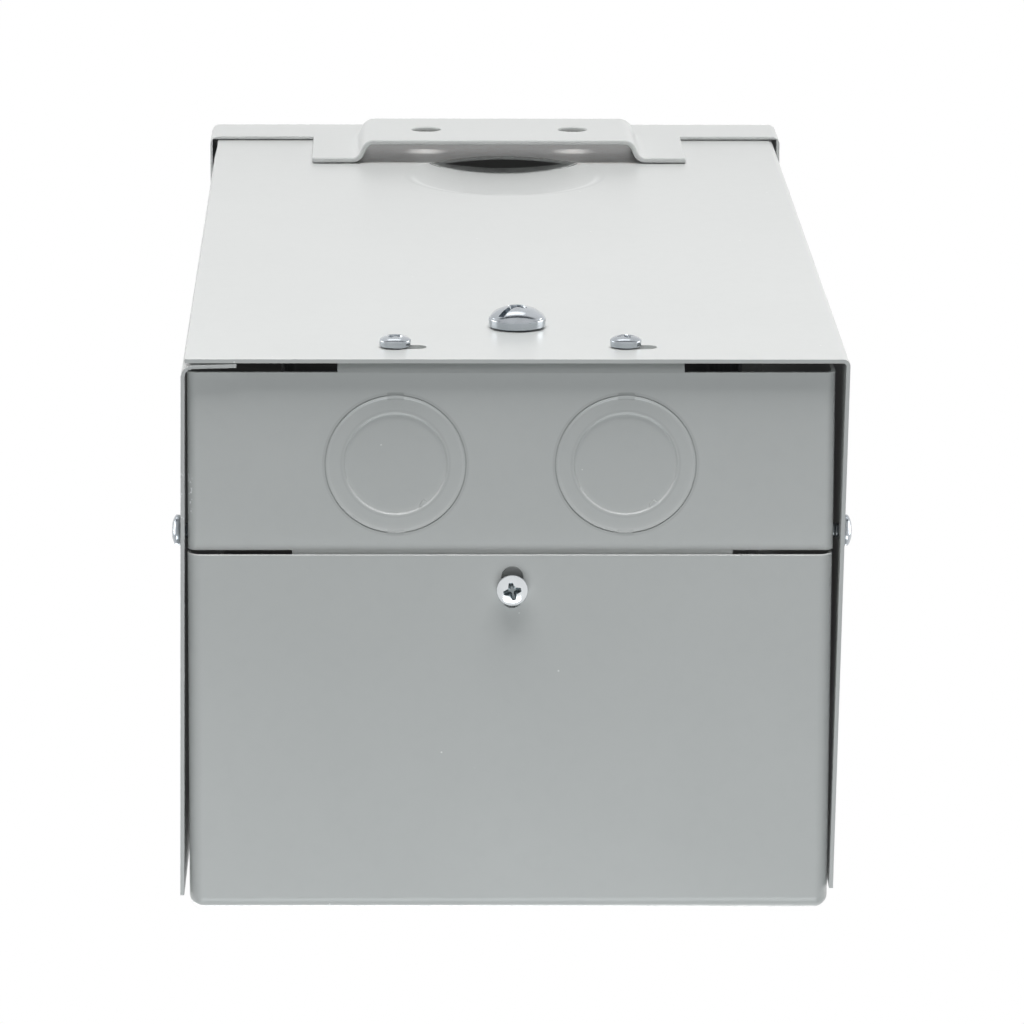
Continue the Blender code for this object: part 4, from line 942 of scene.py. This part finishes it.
def add_knockouts(obj):
    """Dishes both knockouts into the plate: the inner side first, then the outer side."""
    middle = SHEET * 0.5
    for x in KNOCKOUT_XS:
        centre = (x, KNOCKOUT_Y, END_Z)
        rim = KNOCKOUT_OUTER_R
        inner = knockout_profile(SHEET + 0.00001) + ((rim, middle), (0.0, middle))
        combine(obj, turned(bmesh.new(), inner, centre, (0, 0, 1), 120), "UNION")
        outer = knockout_profile(0.00001) + ((rim, -0.001), (0.0, -0.001))
        combine(obj, turned(bmesh.new(), outer, centre, (0, 0, 1), 120))
        cut_shear_lines(obj, x)
        combine(obj, ledge_tab(x), "UNION")


def ledge_tab(x):
    """The small tab that ties the inner disc to the ring across the ledge."""
    bm = bmesh.new()
    box(bm, (-0.0010, -0.0011, 0.0), (0.0010, 0.0009, 0.0008), 0.0002, 2)
    angle = math.radians(-55)
    reach = KNOCKOUT_INNER_R - 0.0002
    spot = (x - reach * math.cos(angle), KNOCKOUT_Y + reach * math.sin(angle), END_Z + 0.00062)
    matrix = Matrix.Translation(spot) @ Matrix.Rotation(math.radians(35), 4, "Z")
    bmesh.ops.transform(bm, matrix=matrix, verts=bm.verts)
    return bm


def bottom_end_wall(materials):
    """End plate with a raised middle flange, lower wings, side flanges, a tongue and two knockouts."""
    low = (END_LEFT_X, END_LOW_Y - 0.01, END_Z)
    high = (END_RIGHT_X, WING_TOP_Y + 0.01, END_Z + END_FLANGE + 0.01)
    obj = solid("bottom_end_wall_finished", box(bmesh.new(), low, high, 0.0025, 6))
    low = (END_LEFT_X + SHEET, END_LOW_Y - 0.03, END_Z + SHEET)
    high = (END_RIGHT_X - SHEET, WING_TOP_Y + 0.02, END_Z + END_FLANGE + 0.03)
    combine(obj, box(bmesh.new(), low, high, 0.0015, 4))
    trims = (
        ((-FAR, END_LOW_Y - 0.03, END_Z - 0.01), (FAR, END_LOW_Y, END_Z + 0.06)),
        ((-FAR, END_LOW_Y - 0.04, END_Z + END_FLANGE), (FAR, 0.0, END_Z + 0.06)),
        ((-FAR, WING_TOP_Y, END_Z - 0.01), (FAR, WING_TOP_Y + 0.03, END_Z + 0.06)),
    )
    for low, high in trims:
        combine(obj, box(bmesh.new(), low, high))
    combine(obj, end_riser(WING_TOP_Y - 0.002), "UNION")
    low = (TONGUE_LEFT_X, TONGUE_LOW_Y, END_Z)
    combine(obj, box(bmesh.new(), low, (TONGUE_RIGHT_X, END_LOW_Y + 0.004, END_Z + SHEET)), "UNION")
    add_knockouts(obj)
    combine(obj, end_wall_holes())
    return stand_for(round_edges(obj, 0.00012), "bottom_end_wall", materials)


def end_riser(low_y):
    """The middle of the end wall, which rises under the back wall and turns in as a long flange."""
    riser_y = INNER_Y - GAP - SHEET / 2
    middle_z = END_Z + SHEET / 2
    path = ((riser_y, END_Z + RISER_FLANGE), (riser_y, middle_z), (low_y, middle_z))
    outline = bent_outline(path, SHEET, BEND - SHEET / 2)
    return extrude(bmesh.new(), outline, "X", (RISER_LEFT_X, RISER_RIGHT_X))


def end_wall_holes():
    holes = bmesh.new()
    for x in BACK_SCREW_XS:
        cylinder(holes, (x, INNER_Y, BACK_SCREW_Z), (0, 1, 0), SCREW_R + GAP, -0.005, 0.001)
    cylinder(holes, (COVER_SCREW_X, COVER_SCREW_Y, END_Z), (0, 0, 1), SCREW_R + GAP, -0.002, 0.004)
    for x in (END_LEFT_X, END_RIGHT_X):
        cylinder(holes, (x, SIDE_SCREW_Y, SIDE_SCREW_Z), (1, 0, 0), SCREW_R + GAP, -0.003, 0.003)
    return holes


# ---------------------------------------------------------------- strap and cover


def hanger_strap(materials):
    """Hat-section strap on the back wall. Its outer face is the wall plane."""
    foot_y = BACK_Y + GAP + STRAP_SHEET / 2
    top_y = -STRAP_SHEET / 2
    path = (
        (STRAP_FOOT_XS[0], foot_y),
        (STRAP_HEEL_XS[0], foot_y),
        (STRAP_TOP_XS[0], top_y),
        (STRAP_TOP_XS[1], top_y),
        (STRAP_HEEL_XS[1], foot_y),
        (STRAP_FOOT_XS[1], foot_y),
    )
    outline = bent_outline(path, STRAP_SHEET, STRAP_BEND - STRAP_SHEET / 2)
    obj = solid("hanger_strap_finished", extrude(bmesh.new(), outline, "Z", (-STRAP_HALF_Z, STRAP_HALF_Z)))
    holes = bmesh.new()
    for x in STRAP_HOLE_XS:
        cylinder(holes, (x, 0, 0), (0, 1, 0), STRAP_HOLE_R, -0.004, 0.002, 64)
    combine(obj, holes)
    return stand_for(round_edges(obj, 0.00045, 3), "hanger_strap", materials)


def front_cover(materials):
    """Front pan with a long bottom flange, a rimmed window and the slot for its screw."""
    low = (COVER_LEFT_X, COVER_Y, COVER_Z)
    high = (COVER_RIGHT_X, COVER_SEAM_Y + 0.02, COVER_TOP_Z)
    obj = solid("front_cover_finished", box(bmesh.new(), low, high, COVER_RADIUS, 8))
    low = (COVER_LEFT_X + SHEET, COVER_Y + SHEET, COVER_Z + SHEET)
    high = (COVER_RIGHT_X - SHEET, 0.02, COVER_TOP_Z - SHEET)
    combine(obj, box(bmesh.new(), low, high, COVER_RADIUS - SHEET, 6))
    combine(obj, box(bmesh.new(), (-FAR, COVER_SEAM_Y, -0.5), (FAR, 0.05, 0.5)))
    combine(obj, box(bmesh.new(), (-FAR, COVER_Y + COVER_FLANGE, COVER_Z + 0.006), (FAR, 0.06, 0.5)))
    reach_x = WINDOW_HALF_X + SHEET
    reach_z = WINDOW_HALF_Z + SHEET
    low = (-reach_x, COVER_Y - RIM, PANEL_Z - reach_z)
    high = (reach_x, COVER_Y + SHEET / 2, PANEL_Z + reach_z)
    combine(obj, box(bmesh.new(), low, high), "UNION")
    low = (-WINDOW_HALF_X, COVER_Y - 0.01, PANEL_Z - WINDOW_HALF_Z)
    high = (WINDOW_HALF_X, COVER_Y + 0.01, PANEL_Z + WINDOW_HALF_Z)
    combine(obj, box(bmesh.new(), low, high))
    slot = obround((COVER_SCREW_X, COVER_SLOT_Y), COVER_SLOT_HALF, COVER_SLOT_R, True)
    combine(obj, extrude(bmesh.new(), slot, "Z", (COVER_Z - 0.002, COVER_Z + 0.004)))
    return stand_for(round_edges(obj, 0.00022), "front_cover", materials)


# ---------------------------------------------------------------- screws


def head_profile(radius, high, rim, power, root=1.6, steps=14):
    """Half section of a screw head, top to seat: a dome on a rim. Power and root shape the dome."""
    points = [(0.0, high)]
    for i in range(1, steps + 1):
        share = math.sin(math.pi / 2 * i / steps)
        height = rim + (high - rim) * (1 - share**power) ** (1 / root)
        points.append((radius * share, height))
    points += [(radius, rim - 0.0003), (radius - 0.0001, GAP + 0.0001), (radius - 0.0003, GAP)]
    return points


def shank_profile(radius, low, pitch):
    """Half section of a threaded shank, from under the head to its tip."""
    points = [(radius * 0.96, GAP), (radius * 0.96, -0.0006)]
    count = int((-low - 0.0022) / pitch)
    for i in range(count):
        top = -0.0010 - i * pitch
        points += [(radius * 0.84, top), (radius, top - pitch * 0.45), (radius, top - pitch * 0.55)]
    return points + [(radius * 0.80, low + 0.0010), (radius * 0.45, low), (0.0, low)]


def star(reach, wing, waist, depth, turn, top):
    """A tapered cross recess that opens at the given height."""
    bm = bmesh.new()
    rings = []
    for z, grow in ((top + 0.0006, 1.06), (top - depth * 0.5, 0.86), (top - depth, 0.40)):
        points = []
        for quarter in range(4):
            angle = turn + quarter * math.pi / 2
            spin = Matrix.Rotation(angle, 2)
            for x, y in ((reach, -wing), (reach, wing), (waist, waist)):
                points.append(spin @ Vector((x, y)) * grow)
        rings.append([bm.verts.new((p.x, p.y, z)) for p in points])
    bm.faces.new(rings[0])
    bm.faces.new(rings[-1])
    for high, low in zip(rings, rings[1:]):
        for i in range(12):
            j = (i + 1) % 12
            bm.faces.new((high[i], high[j], low[j], low[i]))
    return bm


def stand_screw(obj, node, seat, axis, materials):
    """Turns a screw built along +Z onto its axis and moves it to its seat."""
    turn = Vector((0, 0, 1)).rotation_difference(Vector(axis)).to_matrix().to_4x4()
    obj.data.transform(Matrix.Translation(seat) @ turn)
    return stand_for(obj, node, materials)


def pan_screw(node, seat, axis, length, turn, materials, high=PAN_HEAD_HIGH):
    """Pan-head screw with a cross recess."""
    profile = head_profile(PAN_HEAD_R, high, high - PAN_DOME_HIGH, 2.4, 1.4)
    profile += shank_profile(SCREW_R, -length, THREAD_PITCH)
    obj = solid(node + "_finished", turned(bmesh.new(), profile, (0, 0, 0), (0, 0, 1)))
    combine(obj, star(*PAN_RECESS, math.radians(turn), high))
    return stand_screw(round_edges(obj, 0.00010), node, seat, axis, materials)


def ground_screw(materials):
    """Truss-head screw with a slot and a cross recess."""
    high = TRUSS_HEAD_HIGH
    profile = head_profile(TRUSS_HEAD_R - 0.0003, high, TRUSS_RIM, 2.0, 1.45)[:-3]
    profile += [(TRUSS_HEAD_R - 0.0001, 0.0026), (TRUSS_HEAD_R, 0.0023), (TRUSS_HEAD_R - 0.0001, 0.0006)]
    profile += [(TRUSS_HEAD_R - 0.0004, GAP)]
    profile += shank_profile(TRUSS_SCREW_R, -TRUSS_SCREW_LENGTH, TRUSS_THREAD_PITCH)
    obj = solid("ground_screw_finished", turned(bmesh.new(), profile, (0, 0, 0), (0, 0, 1), 96))
    angle = math.radians(TRUSS_SLOT_TURN)
    low_corner = (-TRUSS_SLOT_HALF, -TRUSS_SLOT_HALF_WIDE, high - TRUSS_SLOT_DEPTH)
    slot = box(bmesh.new(), low_corner, (TRUSS_SLOT_HALF, TRUSS_SLOT_HALF_WIDE, high + 0.002))
    bmesh.ops.transform(slot, matrix=Matrix.Rotation(angle, 4, "Z"), verts=slot.verts)
    combine(obj, slot)
    combine(obj, star(*TRUSS_RECESS, angle + math.pi / 2, high))
    seat = (GROUND_SCREW_X, BACK_Y, GROUND_SCREW_Z)
    return stand_screw(round_edges(obj, 0.00016), "ground_screw", seat, (0, 1, 0), materials)


def screws(materials):
    """The pan-head screws that hold the sheets, and the ground screw. Turns are in degrees."""
    for side, x, turn in zip(("left", "right"), BACK_SCREW_XS, BACK_SCREW_TURNS):
        pan_screw("back_screw_" + side, (x, BACK_Y, BACK_SCREW_Z), (0, 1, 0), SCREW_LENGTH, turn, materials)
    side_drop = (BACK_Y - SIDE_SCREW_Y) / LEFT_WALL_DEPTH
    left_x = -HALF_WIDTH - LEFT_WALL_LEAN * side_drop
    right_x = RIGHT_WALL_X + RIGHT_WALL_LEAN * side_drop
    for side, x, sign in (("left", left_x, -1), ("right", right_x, 1)):
        spot = (x, SIDE_SCREW_Y, SIDE_SCREW_Z)
        axis = (sign, 0, 0)
        pan_screw("side_screw_" + side, spot, axis, SCREW_LENGTH, SIDE_SCREW_TURN, materials, SIDE_HEAD_HIGH)
    # The cover screw takes the brighter copy of the zinc, a painted highlight.
    brighter = {**materials, "zinc": materials["new_zinc"]}
    spot = (COVER_SCREW_X, COVER_SCREW_Y, COVER_Z)
    pan_screw("cover_screw", spot, (0, 0, -1), SCREW_LENGTH, COVER_SCREW_TURN, brighter)
    for side, x in (("left", -DEAD_FRONT_SCREW_X), ("right", DEAD_FRONT_SCREW_X)):
        name = "dead_front_screw_" + side
        spot = (x, DEAD_FRONT_Y, PANEL_Z)
        pan_screw(name, spot, (0, -1, 0), DEAD_FRONT_SCREW_LENGTH, DEAD_FRONT_SCREW_TURN, materials)
    ground_screw(materials)


# ---------------------------------------------------------------- everything together

OWN_PIECES = (back_wrap, bottom_end_wall, hanger_strap, front_cover, screws)
ROUNDINGS = {
    "top_hood": 0.00030,
    "right_side_wall": 0.00022,
    "weather_door": 0.00030,
    "padlock_staple": 0.00035,
}
DEFAULT_ROUNDING = 0.00020


def main():
    make_camera()
    make_studio()
    materials = make_materials()
    for node in frame["nodes"]:
        dress_node(node, materials[slot_of(node)])
    for make in OWN_PIECES:
        make(materials)
    made = {obj.name for obj in bpy.data.objects}
    for node in sorted(frame["nodes"]):
        if node + "_finished" not in made:
            soften(node, materials, ROUNDINGS.get(node, DEFAULT_ROUNDING))


main()
